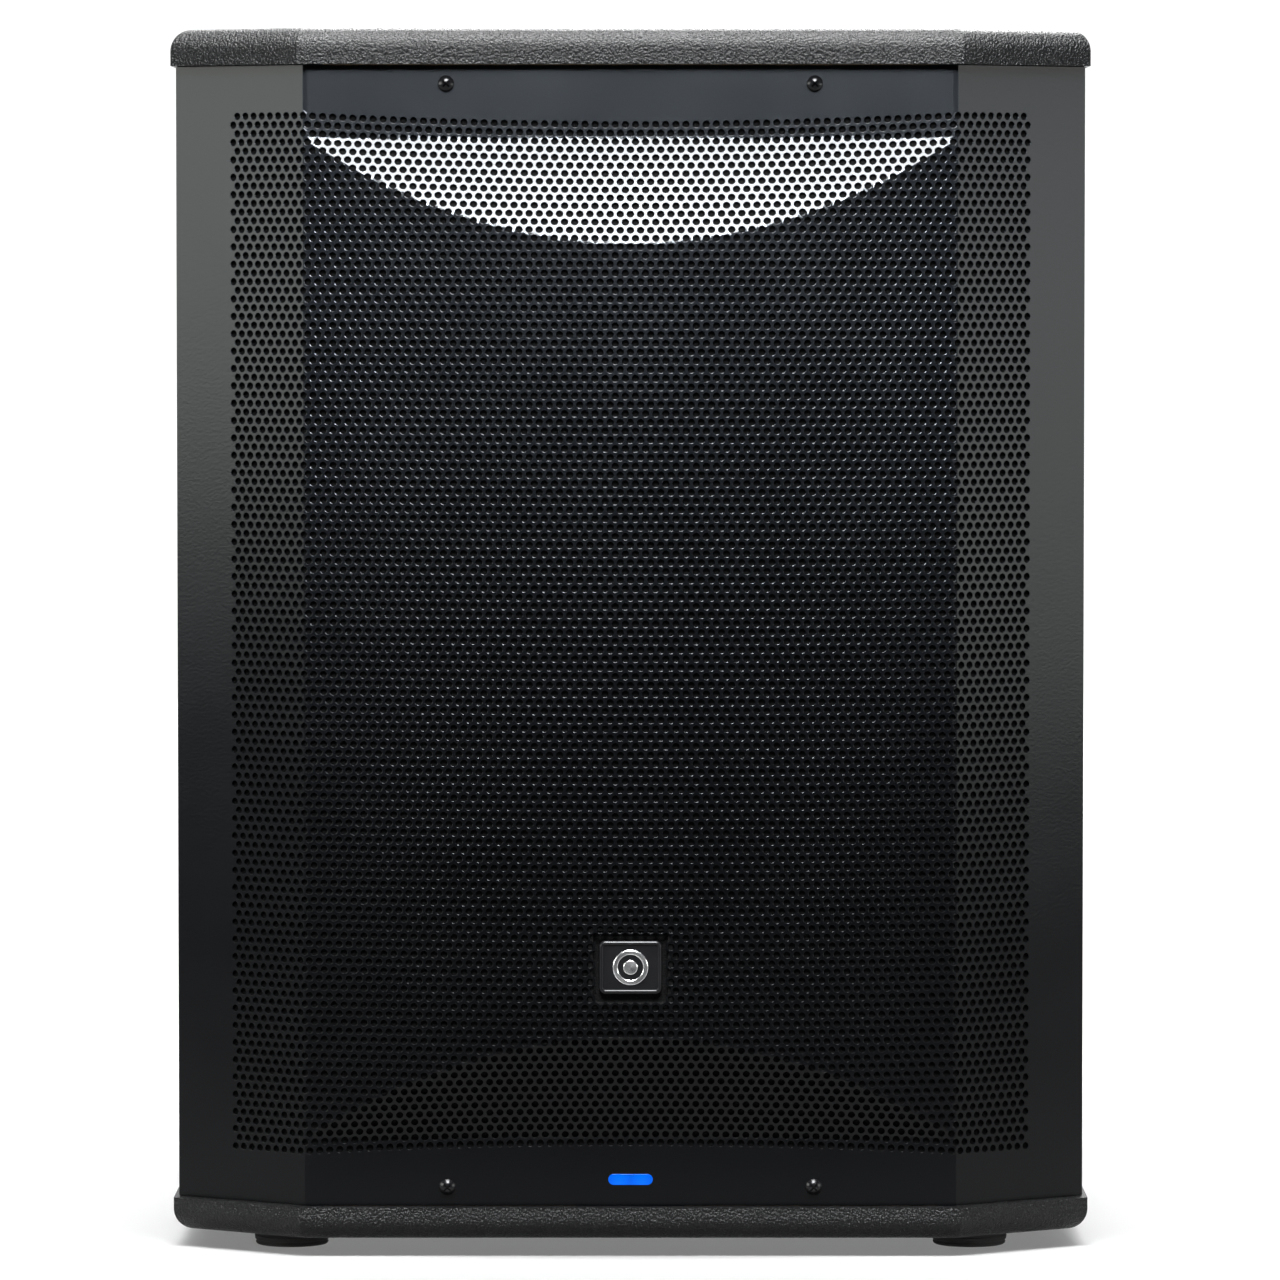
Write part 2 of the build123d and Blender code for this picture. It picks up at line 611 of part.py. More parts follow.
WINDOW_COUNT = 8
with BuildPart() as woofer_frame:
    basket = ring_part(
        [
            (WOOFER_RADIUS, FLANGE_FRONT),
            (WOOFER_RADIUS, PANEL_FRONT),
            (209, PANEL_FRONT),
            (207, PANEL_FRONT + 27),
            (146, LEDGE_Y + 8),
            (HUB_RADIUS, LEDGE_Y + 8),
            (HUB_RADIUS, TOP_PLATE_Y),
            (60, TOP_PLATE_Y),
            (60, TOP_PLATE_Y - 8),
            (104, TOP_PLATE_Y - 8),
            (104, LEDGE_Y + 5),
            (124, LEDGE_Y + 5),
            (124, LEDGE_Y),
            (140, LEDGE_Y),
            (201, PANEL_FRONT + 25),
            (FLANGE_INNER, FLANGE_FRONT),
        ]
    )
    add(basket.part)
    with BuildSketch(facing_front(LEDGE_Y + 20)):
        with Locations((0, WOOFER_Z)):
            with PolarLocations(0, WINDOW_COUNT):
                with BuildLine():
                    half = radians(15)
                    inner, outer = 152, 199
                    low_a = (inner * cos(half), -inner * sin(half))
                    low_b = (outer * cos(half), -outer * sin(half))
                    Line(low_a, low_b)
                    ThreePointArc(low_b, (outer, 0), (low_b[0], -low_b[1]))
                    Line((low_b[0], -low_b[1]), (low_a[0], -low_a[1]))
                    ThreePointArc((low_a[0], -low_a[1]), (inner, 0), low_a)
                make_face()
    extrude(amount=LEDGE_Y + 20 - (PANEL_FRONT + 30), mode=Mode.SUBTRACT)
    with BuildSketch(facing_front(PANEL_FRONT)):
        with Locations((0, WOOFER_Z)):
            with PolarLocations(BOLT_CIRCLE, BOLT_COUNT, BOLT_START):
                Circle(BOLT_RADIUS + 0.3)
    extrude(amount=8, mode=Mode.SUBTRACT)
keep(woofer_frame, "woofer_frame")

RIM_OUTER = 214.0
with BuildPart() as woofer_gasket:
    front_ring = ring_part(
        [
            (FLANGE_INNER + 1, FLANGE_FRONT - 1.1),
            (FLANGE_INNER + 1, FLANGE_FRONT - 4),
            (WOOFER_RADIUS, FLANGE_FRONT - 4),
            (WOOFER_RADIUS, FLANGE_FRONT),
            (RIM_OUTER + 0.5, FLANGE_FRONT),
            (RIM_OUTER + 0.5, FLANGE_FRONT - 1.1),
        ]
    )
    add(front_ring.part)
    with BuildSketch(facing_front(FLANGE_FRONT + 1)):
        with Locations((0, WOOFER_Z)):
            with PolarLocations(BOLT_CIRCLE, BOLT_COUNT, BOLT_START):
                Circle(BOLT_RADIUS + 0.3)
    extrude(amount=8, mode=Mode.SUBTRACT)
keep(woofer_gasket, "woofer_gasket")

BOLT_HEAD = 4.0
NUT = 5.0
with BuildPart() as woofer_bolts:
    bolt_circle = [
        (BOLT_CIRCLE * cos(radians(BOLT_START + k * 360 / BOLT_COUNT)),
         WOOFER_Z + BOLT_CIRCLE * sin(radians(BOLT_START + k * 360 / BOLT_COUNT)))
        for k in range(BOLT_COUNT)
    ]
    with BuildSketch(facing_front(FLANGE_FRONT - 4)):
        with Locations(*bolt_circle):
            RegularPolygon(5.2, 6)
    extrude(amount=BOLT_HEAD)
    with BuildSketch(facing_front(FLANGE_FRONT - 4)):
        with Locations(*bolt_circle):
            Circle(BOLT_RADIUS)
    extrude(amount=-(BAFFLE_BACK - FLANGE_FRONT + 4 + NUT + 2))
    with BuildSketch(facing_front(BAFFLE_BACK + NUT)):
        with Locations(*bolt_circle):
            RegularPolygon(5.2, 6)
    extrude(amount=NUT)
keep(woofer_bolts, "woofer_bolts")

CONE_OUTER, CONE_NECK = 178.0, 50.7
CONE_FRONT, CONE_BACK = FLANGE_FRONT + 1.0, PANEL_FRONT + 88.0
CONE_PAPER = 1.6
with BuildPart() as woofer_cone:
    with BuildSketch(RADIAL):
        with BuildLine():
            middle = (108, CONE_BACK - 46)
            ThreePointArc((CONE_NECK, CONE_BACK), middle, (CONE_OUTER, CONE_FRONT))
            Line((CONE_OUTER, CONE_FRONT), (CONE_OUTER, CONE_FRONT + CONE_PAPER))
            ThreePointArc(
                (CONE_OUTER, CONE_FRONT + CONE_PAPER),
                (middle[0], middle[1] + CONE_PAPER),
                (CONE_NECK, CONE_BACK + CONE_PAPER),
            )
            Line((CONE_NECK, CONE_BACK + CONE_PAPER), (CONE_NECK, CONE_BACK))
        make_face()
    revolve(axis=WOOFER_AXIS)
keep(woofer_cone, "woofer_cone")

CAP_RADIUS, CAP_RISE, CAP_THICK = 70.0, 24.0, 1.2
CAP_SEAT = CONE_BACK - 17.6
CAP_SPHERE = (CAP_RADIUS**2 + CAP_RISE**2) / (2 * CAP_RISE)


def cap_outline(radius):
    """Half of the cap's section for one sphere radius: rim, halfway and crown points."""
    centre_y = CAP_SEAT - CAP_RISE + CAP_SPHERE
    rim = sqrt(radius**2 - (centre_y - CAP_SEAT) ** 2)
    halfway = centre_y - sqrt(radius**2 - rim**2 / 4)
    return (rim, CAP_SEAT), (rim / 2, halfway), (0, centre_y - radius)


with BuildPart() as dust_cap:
    with BuildSketch(RADIAL):
        with BuildLine():
            outer = cap_outline(CAP_SPHERE)
            inner = cap_outline(CAP_SPHERE - CAP_THICK)
            ThreePointArc(*outer)
            Line(outer[2], inner[2])
            ThreePointArc(*inner)
            Line(inner[0], outer[0])
        make_face()
    revolve(axis=WOOFER_AXIS)
keep(dust_cap, "dust_cap")

FORMER_WALL = 0.7
COIL_WIRE_IN = COIL_RADIUS + FORMER_WALL
COIL_WIRE_OUT = COIL_WIRE_IN + 1.4
COIL_END = TOP_PLATE_Y + 17
coil_former = ring_part(
    [
        (COIL_RADIUS, CONE_BACK - 3),
        (COIL_WIRE_IN, CONE_BACK - 3),
        (COIL_WIRE_IN, COIL_END),
        (COIL_RADIUS, COIL_END),
    ]
)
coil_winding = ring_part(
    [
        (COIL_WIRE_IN + 0.05, TOP_PLATE_Y - 6),
        (COIL_WIRE_OUT, TOP_PLATE_Y - 6),
        (COIL_WIRE_OUT, COIL_END),
        (COIL_WIRE_IN + 0.05, COIL_END),
    ]
)
with BuildPart() as voice_coil:
    add(coil_former.part)
    add(coil_winding.part)
keep(voice_coil, "voice_coil")


def rolls(r_low, r_high, y, count, height, thick, flat_low, flat_high):
    """A ring of sheet with half-round rolls between two flat rims: a surround or a spider."""
    width = (r_high - r_low) / count
    with BuildPart() as rolled:
        with BuildSketch(RADIAL):
            with BuildLine():
                for side in (0, thick):
                    for k in range(count):
                        start = r_low + k * width
                        lift = height if count == 2 else height * (1 if k % 2 else -1)
                        ThreePointArc(
                            (start, y + side),
                            (start + width / 2, y + side - lift),
                            (start + width, y + side),
                        )
                    Line((flat_low, y + side), (r_low, y + side))
                    Line((r_high, y + side), (flat_high, y + side))
                Line((flat_low, y), (flat_low, y + thick))
                Line((flat_high, y), (flat_high, y + thick))
            make_face()
        revolve(axis=WOOFER_AXIS)
    return rolled


woofer_surround = rolls(
    CONE_OUTER + 0.6, FLANGE_INNER, FLANGE_FRONT - 1.05, 2, 6.0, 1.0, CONE_OUTER - 8, RIM_OUTER
)
keep(woofer_surround, "woofer_surround")

woofer_spider = rolls(
    58, 122, LEDGE_Y - 1.05, 8, 2.6, 1.0, COIL_RADIUS + FORMER_WALL + 0.3, 136
)
keep(woofer_spider, "woofer_spider")

GAP_OUTER, POLE_RADIUS = 53.4, 48.8
woofer_top_plate = ring_part(
    [
        (GAP_OUTER, TOP_PLATE_Y),
        (100, TOP_PLATE_Y),
        (100, MAGNET_Y),
        (GAP_OUTER, MAGNET_Y),
    ]
)
keep(woofer_top_plate, "woofer_top_plate")

woofer_magnet = ring_part(
    [(60, MAGNET_Y), (HUB_RADIUS, MAGNET_Y), (HUB_RADIUS, YOKE_Y), (60, YOKE_Y)]
)
keep(woofer_magnet, "woofer_magnet")

woofer_yoke = ring_part(
    [
        (12, TOP_PLATE_Y - 2),
        (POLE_RADIUS, TOP_PLATE_Y - 2),
        (POLE_RADIUS, YOKE_Y),
        (100, YOKE_Y),
        (96, YOKE_Y + YOKE_THICK),
        (12, YOKE_Y + YOKE_THICK),
    ]
)
keep(woofer_yoke, "woofer_yoke")

TERMINAL_Z = WOOFER_Z + HUB_RADIUS + 8
TERMINAL_BACK = TOP_PLATE_Y - 10
LEAD_SPREAD = 12.0
with BuildPart() as woofer_terminals:
    box_between(
        (-22, LEDGE_Y + 10, WOOFER_Z + HUB_RADIUS - 4), (22, TERMINAL_BACK - 8, TERMINAL_Z + 6)
    )
    with BuildSketch(facing_front(TERMINAL_BACK)):
        with Locations((0, WOOFER_Z)):
            Circle(HUB_RADIUS + 0.05)
    extrude(amount=60, mode=Mode.SUBTRACT)
    with BuildSketch(facing_front(TERMINAL_BACK)):
        with Locations((-LEAD_SPREAD, TERMINAL_Z), (LEAD_SPREAD, TERMINAL_Z)):
            Circle(4)
    extrude(amount=8)
keep(woofer_terminals, "woofer_terminals")

# ================================================================ amplifier module
AMP_PLATE, AMP_SEAL = 3.0, 1.5
AMP_IN = PANEL_BACK_OUT + AMP_SEAL
AMP_OUT = AMP_IN + AMP_PLATE
CONNECTOR_Z, CONTROL_Z = 425.0, 372.0
INPUT_XS = (90.0, 50.0)
OUTPUT_XS = (10.0, -30.0)
LEVEL_X, CROSSOVER_X, POLARITY_X, GROUND_X = 90.0, 54.0, 24.0, 4.0
STATUS_XS = (-16.0, -27.0, -38.0)
ENTRY_X, ENTRY_Z = -85.0, 372.0
ENTRY_WIDTH, ENTRY_HEIGHT = 32.0, 66.0
SOCKET_RADIUS = 12.0
BUSHING_RADIUS, SHAFT_RADIUS = 3.5, 2.9
BUTTON_RADIUS = 3.6
STATUS_RADIUS = 1.5
SINK_LOW_Z, SINK_HIGH_Z, SINK_HALF_WIDTH = 458.0, 572.0, 108.0
SOCKET_PLACES = [(x, CONNECTOR_Z) for x in INPUT_XS + OUTPUT_XS]
SOCKET_SCREW_PLACES = [
    (x + side * 9.8, z + side * 12.2) for x, z in SOCKET_PLACES for side in (-1, 1)
]

with BuildPart() as amp_panel:
    with BuildSketch(facing_front(AMP_OUT)):
        with Locations((0, AMP_CENTRE_Z)):
            RectangleRounded(2 * AMP_HALF_WIDTH, AMP_HIGH_Z - AMP_LOW_Z, 6)
        with Locations((0, AMP_CENTRE_Z)):
            with Locations(*AMP_SCREW_PLACES):
                Circle(2.2, mode=Mode.SUBTRACT)
        with Locations(*SOCKET_PLACES):
            Circle(SOCKET_RADIUS + 0.2, mode=Mode.SUBTRACT)
        with Locations(*SOCKET_SCREW_PLACES):
            Circle(1.4, mode=Mode.SUBTRACT)
        with Locations((LEVEL_X, CONTROL_Z), (CROSSOVER_X, CONTROL_Z)):
            Circle(BUSHING_RADIUS + 0.1, mode=Mode.SUBTRACT)
        with Locations((POLARITY_X, CONTROL_Z), (GROUND_X, CONTROL_Z)):
            Circle(BUTTON_RADIUS + 0.4, mode=Mode.SUBTRACT)
        with Locations(*[(x, CONTROL_Z) for x in STATUS_XS]):
            Circle(STATUS_RADIUS + 0.1, mode=Mode.SUBTRACT)
        with Locations((ENTRY_X, ENTRY_Z)):
            Rectangle(ENTRY_WIDTH - 4, ENTRY_HEIGHT - 4, mode=Mode.SUBTRACT)
    extrude(amount=AMP_PLATE)
    fillet(amp_panel.faces().sort_by(Axis.Y)[-1].outer_wire().edges(), 0.8)
keep(amp_panel, "amp_panel")

FIN_PITCH, FIN = 9.0, 2.2
FIN_TIP_Y = AMP_OUT + 13.0
with BuildPart() as heat_sink:
    box_between((-SINK_HALF_WIDTH, AMP_OUT, SINK_LOW_Z), (SINK_HALF_WIDTH, AMP_OUT + 3, SINK_HIGH_Z))
    fin_count = int(2 * SINK_HALF_WIDTH // FIN_PITCH) + 1
    with BuildSketch(Plane.XY.offset(SINK_LOW_Z)):
        with Locations((0, AMP_OUT + 2)):
            with GridLocations(FIN_PITCH, 1, fin_count, 1):
                Trapezoid(FIN + 0.8, FIN_TIP_Y - AMP_OUT - 2, 88, align=(Align.CENTER, Align.MIN))
    extrude(amount=SINK_HIGH_Z - SINK_LOW_Z)
keep(heat_sink, "heat_sink")

TRAY_FRONT, TRAY_STEEL = 205.0, 1.2
TRAY_HALF, TRAY_HEIGHT = 108.0, 244.0
POST = 6.0
BOARD_Y = TRAY_FRONT + TRAY_STEEL + POST
POST_PLACES = [(x, z) for x in (-92, 92) for z in (-108, 108)]
with BuildPart() as amp_tray:
    low_z, high_z = AMP_CENTRE_Z - TRAY_HEIGHT / 2, AMP_CENTRE_Z + TRAY_HEIGHT / 2
    box_between((-TRAY_HALF, TRAY_FRONT, low_z), (TRAY_HALF, AMP_IN, high_z))
    inner_low = (-TRAY_HALF + TRAY_STEEL, TRAY_FRONT + TRAY_STEEL, low_z + TRAY_STEEL)
    inner_high = (TRAY_HALF - TRAY_STEEL, AMP_IN, high_z - TRAY_STEEL)
    box_between(inner_low, inner_high, mode=Mode.SUBTRACT)
    with BuildSketch(facing_front(BOARD_Y)):
        with Locations((0, AMP_CENTRE_Z)):
            with Locations(*POST_PLACES):
                Circle(3)
    extrude(amount=POST)
keep(amp_tray, "amp_tray")

BOARD_THICK = 1.6
COMPONENT_Y = BOARD_Y + BOARD_THICK
with BuildPart() as amp_board:
    box_between(
        (-98, BOARD_Y, AMP_CENTRE_Z - 114), (98, COMPONENT_Y, AMP_CENTRE_Z + 114)
    )
    for x, z, size in ((-70, 430, (24, 20, 24)), (20, 400, (30, 12, 18)), (70, 400, (16, 18, 30)),
                       (-20, 360, (40, 8, 14)), (40, 350, (22, 14, 22))):
        with Locations((x, COMPONENT_Y + size[1] / 2, z)):
            Box(*size)
keep(amp_board, "amp_board")

with BuildPart() as toroid_transformer:
    with BuildSketch(facing_front(COMPONENT_Y + 36)):
        with Locations((-52, 515)):
            Circle(42)
            Circle(13, mode=Mode.SUBTRACT)
    extrude(amount=36)
    fillet(toroid_transformer.edges().filter_by(GeomType.CIRCLE), 9)
keep(toroid_transformer, "toroid_transformer")

with BuildPart() as filter_capacitors:
    with BuildSketch(facing_front(COMPONENT_Y + 42)):
        with Locations((56, 520)):
            with GridLocations(42, 42, 2, 2):
                Circle(17)
    extrude(amount=42)
    fillet(filter_capacitors.faces().group_by(Axis.Y)[-1].edges(), 1.5)
keep(filter_capacitors, "filter_capacitors")

# ---------------------------------------------------------------- signal sockets
FLANGE_W, FLANGE_H, FLANGE_T = 26.0, 31.0, 2.5
SOCKET_DEPTH = 20.0
JACK_RADIUS = 3.25
LATCH_W, LATCH_H, LATCH_RISE = 7.0, 3.6, 11.6
with BuildPart() as input_sockets:
    for x in INPUT_XS:
        with BuildSketch(facing_front(AMP_OUT + FLANGE_T)):
            with Locations((x, CONNECTOR_Z)):
                RectangleRounded(FLANGE_W, FLANGE_H, 2.5)
        extrude(amount=FLANGE_T)
        with BuildSketch(facing_front(AMP_OUT)):
            with Locations((x, CONNECTOR_Z)):
                Circle(SOCKET_RADIUS)
        extrude(amount=SOCKET_DEPTH)
        with BuildSketch(facing_front(AMP_OUT + FLANGE_T)):
            with Locations((x, CONNECTOR_Z)):
                Circle(9.4)
                Circle(8.6, mode=Mode.SUBTRACT)
        extrude(amount=-1.2, mode=Mode.ADD)
        with BuildSketch(facing_front(AMP_OUT + FLANGE_T)):
            with Locations((x, CONNECTOR_Z)):
                Circle(JACK_RADIUS)
                with PolarLocations(6.2, 3, 90):
                    Circle(1.5)
        extrude(amount=16, mode=Mode.SUBTRACT)
        with BuildSketch(facing_front(AMP_OUT + FLANGE_T)):
            with Locations((x, CONNECTOR_Z + LATCH_RISE)):
                Rectangle(LATCH_W, LATCH_H + 2)
        extrude(amount=FLANGE_T - 0.3, mode=Mode.SUBTRACT)
    with BuildSketch(facing_front(AMP_OUT + FLANGE_T)):
        with Locations(*SOCKET_SCREW_PLACES[:4]):
            Circle(1.4)
    extrude(amount=FLANGE_T, mode=Mode.SUBTRACT)
keep(input_sockets, "input_sockets")

LATCH_SIDES = ("a", "b")
for side, x in zip(LATCH_SIDES, INPUT_XS):
    with BuildPart() as input_latch:
        with BuildSketch(facing_front(AMP_OUT + 0.6)):
            with Locations((x, CONNECTOR_Z + LATCH_RISE + 1.4)):
                Rectangle(LATCH_W - 0.8, LATCH_H - 1.6)
        extrude(amount=-(FLANGE_T + 2.2))
    keep(input_latch, f"input_latch_{side}")

with BuildPart() as output_sockets:
    for x in OUTPUT_XS:
        with BuildSketch(facing_front(AMP_OUT + FLANGE_T)):
            with Locations((x, CONNECTOR_Z)):
                RectangleRounded(FLANGE_W, FLANGE_H, 2.5)
        extrude(amount=FLANGE_T)
        with BuildSketch(facing_front(AMP_OUT)):
            with Locations((x, CONNECTOR_Z)):
                Circle(SOCKET_RADIUS)
        extrude(amount=SOCKET_DEPTH)
        with BuildSketch(facing_front(AMP_OUT + FLANGE_T)):
            with Locations((x, CONNECTOR_Z)):
                Circle(9.0)
        extrude(amount=14, mode=Mode.SUBTRACT)
        with BuildSketch(facing_front(AMP_OUT + FLANGE_T - 14)):
            with Locations((x, CONNECTOR_Z)):
                with PolarLocations(4, 3, 90):
                    Circle(1.2)
        extrude(amount=-12)
    with BuildSketch(facing_front(AMP_OUT + FLANGE_T)):
        with Locations(*SOCKET_SCREW_PLACES[4:]):
            Circle(1.4)
    extrude(amount=FLANGE_T, mode=Mode.SUBTRACT)
keep(output_sockets, "output_sockets")

socket_screws = screws_on(
    Plane(origin=(0, AMP_OUT + FLANGE_T, 0), x_dir=(-1, 0, 0), z_dir=(0, 1, 0)),
    [(-x, z) for x, z in SOCKET_SCREW_PLACES],
    screw(2.2, 1.5, 1.2, 7, cross=1.5),
)
keep(socket_screws, "socket_screws")

# ---------------------------------------------------------------- controls
KNOB_RADIUS, KNOB_LIFT = 8.0, 1.0
KNOB_FRONT_Y = AMP_OUT + 12.0
SHAFT_END = AMP_IN - 3.0
for name, x in (("level_knob", LEVEL_X), ("crossover_knob", CROSSOVER_X)):
    with BuildPart() as knob:
        with BuildSketch(facing_front(AMP_OUT + KNOB_LIFT)):
            with Locations((x, CONTROL_Z)):
                Circle(KNOB_RADIUS)
                with PolarLocations(KNOB_RADIUS + 0.4, 18):
                    Circle(0.8, mode=Mode.SUBTRACT)
        extrude(amount=-(KNOB_FRONT_Y - AMP_OUT - KNOB_LIFT), taper=3)
        with BuildSketch(facing_front(KNOB_FRONT_Y)):
            with Locations((x, CONTROL_Z + 4.6)):
                Rectangle(1.2, 4.4)
        extrude(amount=0.6, mode=Mode.SUBTRACT)
        with BuildSketch(facing_front(AMP_OUT + KNOB_LIFT)):
            with Locations((x, CONTROL_Z)):
                Circle(SHAFT_RADIUS)
        extrude(amount=AMP_OUT + KNOB_LIFT - SHAFT_END)
    keep(knob, name)

BUTTON_TRAVEL = 2.0
for name, x in (("polarity_button", POLARITY_X), ("ground_lift_button", GROUND_X)):
    with BuildPart() as button:
        with BuildSketch(facing_front(AMP_OUT + 5)):
            with Locations((x, CONTROL_Z)):
                Circle(BUTTON_RADIUS)
        extrude(amount=9)
        fillet(button.faces().sort_by(Axis.Y)[-1].edges(), 0.7)
    keep(button, name)

CONTROL_BOARD_Y = AMP_IN - 14.0
with BuildPart() as control_board:
    box_between((-46, CONTROL_BOARD_Y - 1.6, CONTROL_Z - 14), (104, CONTROL_BOARD_Y, CONTROL_Z + 14))
    with BuildSketch(facing_front(AMP_IN - 0.5)):
        with Locations((LEVEL_X, CONTROL_Z), (CROSSOVER_X, CONTROL_Z)):
            RectangleRounded(16, 16, 2)
    extrude(amount=AMP_IN - 0.5 - CONTROL_BOARD_Y)
    with BuildSketch(facing_front(AMP_OUT)):
        with Locations((LEVEL_X, CONTROL_Z), (CROSSOVER_X, CONTROL_Z)):
            Circle(BUSHING_RADIUS)
    extrude(amount=AMP_PLATE + 1)
    with BuildSketch(facing_front(AMP_OUT)):
        with Locations((LEVEL_X, CONTROL_Z), (CROSSOVER_X, CONTROL_Z)):
            Circle(SHAFT_RADIUS + 0.06)
    extrude(amount=AMP_OUT - SHAFT_END + 1, mode=Mode.SUBTRACT)
    with BuildSketch(facing_front(AMP_OUT - 4 - BUTTON_TRAVEL - 1)):
        with Locations((POLARITY_X, CONTROL_Z), (GROUND_X, CONTROL_Z)):
            Rectangle(10, 10)
    extrude(amount=AMP_OUT - 5 - BUTTON_TRAVEL - CONTROL_BOARD_Y)
keep(control_board, "control_board")

with BuildPart() as status_lights:
    for x in STATUS_XS:
        with BuildSketch(facing_front(AMP_OUT + 0.8)):
            with Locations((x, CONTROL_Z)):
                Circle(STATUS_RADIUS)
        extrude(amount=AMP_OUT + 0.8 - CONTROL_BOARD_Y)
    fillet(status_lights.faces().group_by(Axis.Y)[-1].edges(), 0.5)
keep(status_lights, "status_lights")

# ---------------------------------------------------------------- mains entry
INLET_Z = ENTRY_Z - 16.0
DRAWER_Z, DRAWER_H = ENTRY_Z + 4.5, 7.0
ROCKER_Z = ENTRY_Z + 19.0
ROCKER_W, ROCKER_H = 18.0, 12.0
ENTRY_FRONT = AMP_OUT + 2.5
with BuildPart() as power_entry:
    with BuildSketch(facing_front(ENTRY_FRONT)):
        with Locations((ENTRY_X, ENTRY_Z)):
            RectangleRounded(ENTRY_WIDTH + 4, ENTRY_HEIGHT + 2, 3)
    extrude(amount=2.5)
    with BuildSketch(facing_front(AMP_OUT)):
        with Locations((ENTRY_X, ENTRY_Z)):
            Rectangle(ENTRY_WIDTH - 4.4, ENTRY_HEIGHT - 4.4)
    extrude(amount=27)
    with BuildSketch(facing_front(ENTRY_FRONT)):
        with Locations((ENTRY_X, INLET_Z)):
            Polygon(
                (-12, -8.2), (12, -8.2), (12, 4.2), (7.5, 8.2), (-7.5, 8.2), (-12, 4.2), align=None
            )
    extrude(amount=19, mode=Mode.SUBTRACT)
    with BuildSketch(facing_front(ENTRY_FRONT)):
        with Locations((ENTRY_X, DRAWER_Z)):
            Rectangle(22, DRAWER_H)
    extrude(amount=25, mode=Mode.SUBTRACT)
    with BuildSketch(facing_front(ENTRY_FRONT)):
        with Locations((ENTRY_X, ROCKER_Z)):
            Rectangle(ROCKER_W, ROCKER_H)
    extrude(amount=12, mode=Mode.SUBTRACT)
keep(power_entry, "power_entry")

with BuildPart() as inlet_pins:
    with BuildSketch(facing_front(ENTRY_FRONT - 5.5)):
        with Locations(
            (ENTRY_X - 7, INLET_Z - 2), (ENTRY_X + 7, INLET_Z - 2), (ENTRY_X, INLET_Z + 3)
        ):
            Rectangle(2, 4)
    extrude(amount=13.5)
keep(inlet_pins, "inlet_pins")

with BuildPart() as fuse_drawer:
    box_between(
        (ENTRY_X - 10.6, ENTRY_FRONT - 23, DRAWER_Z - DRAWER_H / 2 + 0.4),
        (ENTRY_X + 10.6, ENTRY_FRONT - 0.3, DRAWER_Z + DRAWER_H / 2 - 0.4),
    )
    box_between(
        (ENTRY_X - 9.4, ENTRY_FRONT - 22, DRAWER_Z - 1.8),
        (ENTRY_X + 9.4, ENTRY_FRONT - 2, DRAWER_Z + DRAWER_H),
        mode=Mode.SUBTRACT,
    )
    box_between(
        (ENTRY_X - 4, ENTRY_FRONT - 1, DRAWER_Z - 1), (ENTRY_X + 4, ENTRY_FRONT + 1.4, DRAWER_Z + 1)
    )
keep(fuse_drawer, "fuse_drawer")

ROCKER_TILT = 9.0
ROCKER_AXIS_Y = ENTRY_FRONT - 2.5
with BuildPart() as rocker_blank:
    with BuildSketch(Plane.XY.offset(-ROCKER_H / 2 + 0.5)):
        with BuildLine():
            half_width = ROCKER_W / 2 - 1.0
            Line((-half_width, -4), (half_width, -4))
            Line((half_width, -4), (half_width, 2.6))
            ThreePointArc((half_width, 2.6), (0, 1.4), (-half_width, 2.6))
            Line((-half_width, 2.6), (-half_width, -4))
        make_face()
    extrude(amount=ROCKER_H - 1)
tilted_rocker = Rotation(0, 0, ROCKER_TILT) * rocker_blank.part
with BuildPart() as power_rocker:
    with Locations((ENTRY_X, ROCKER_AXIS_Y, ROCKER_Z)):
        add(tilted_rocker)
keep(power_rocker, "power_rocker")

# ---------------------------------------------------------------- seal, screws and leads
with BuildPart() as amp_gasket:
    with BuildSketch(facing_front(AMP_IN)):
        with Locations((0, AMP_CENTRE_Z)):
            RectangleRounded(2 * AMP_HALF_WIDTH - 4, AMP_HIGH_Z - AMP_LOW_Z - 4, 5)
            RectangleRounded(AMP_CUT_WIDTH, AMP_CUT_HEIGHT, 5, mode=Mode.SUBTRACT)
        with Locations((0, AMP_CENTRE_Z)):
            with Locations(*AMP_SCREW_PLACES):
                Circle(2.4, mode=Mode.SUBTRACT)
    extrude(amount=AMP_SEAL)
keep(amp_gasket, "amp_gasket")

amp_screws = screws_on(
    Plane(origin=(0, AMP_OUT, AMP_CENTRE_Z), x_dir=(-1, 0, 0), z_dir=(0, 1, 0)),
    AMP_SCREW_PLACES,
    PAN_HEAD,
)
with BuildPart() as pan_head_screws:
    add(grille_screws.part)
    add(amp_screws.part)
keep(pan_head_screws, "pan_head_screws")

LEAD_RADIUS = 2.0
LEAD_START_Y = TERMINAL_BACK
with BuildPart() as speaker_leads:
    for side in (-1, 1):
        x = side * LEAD_SPREAD
        with BuildLine() as run:
            Line((x, LEAD_START_Y, TERMINAL_Z), (x, TRAY_FRONT, TERMINAL_Z))
        with BuildSketch(facing_front(LEAD_START_Y)):
            with Locations((x, TERMINAL_Z)):
                Circle(LEAD_RADIUS)
        sweep(path=run.line)
keep(speaker_leads, "speaker_leads")

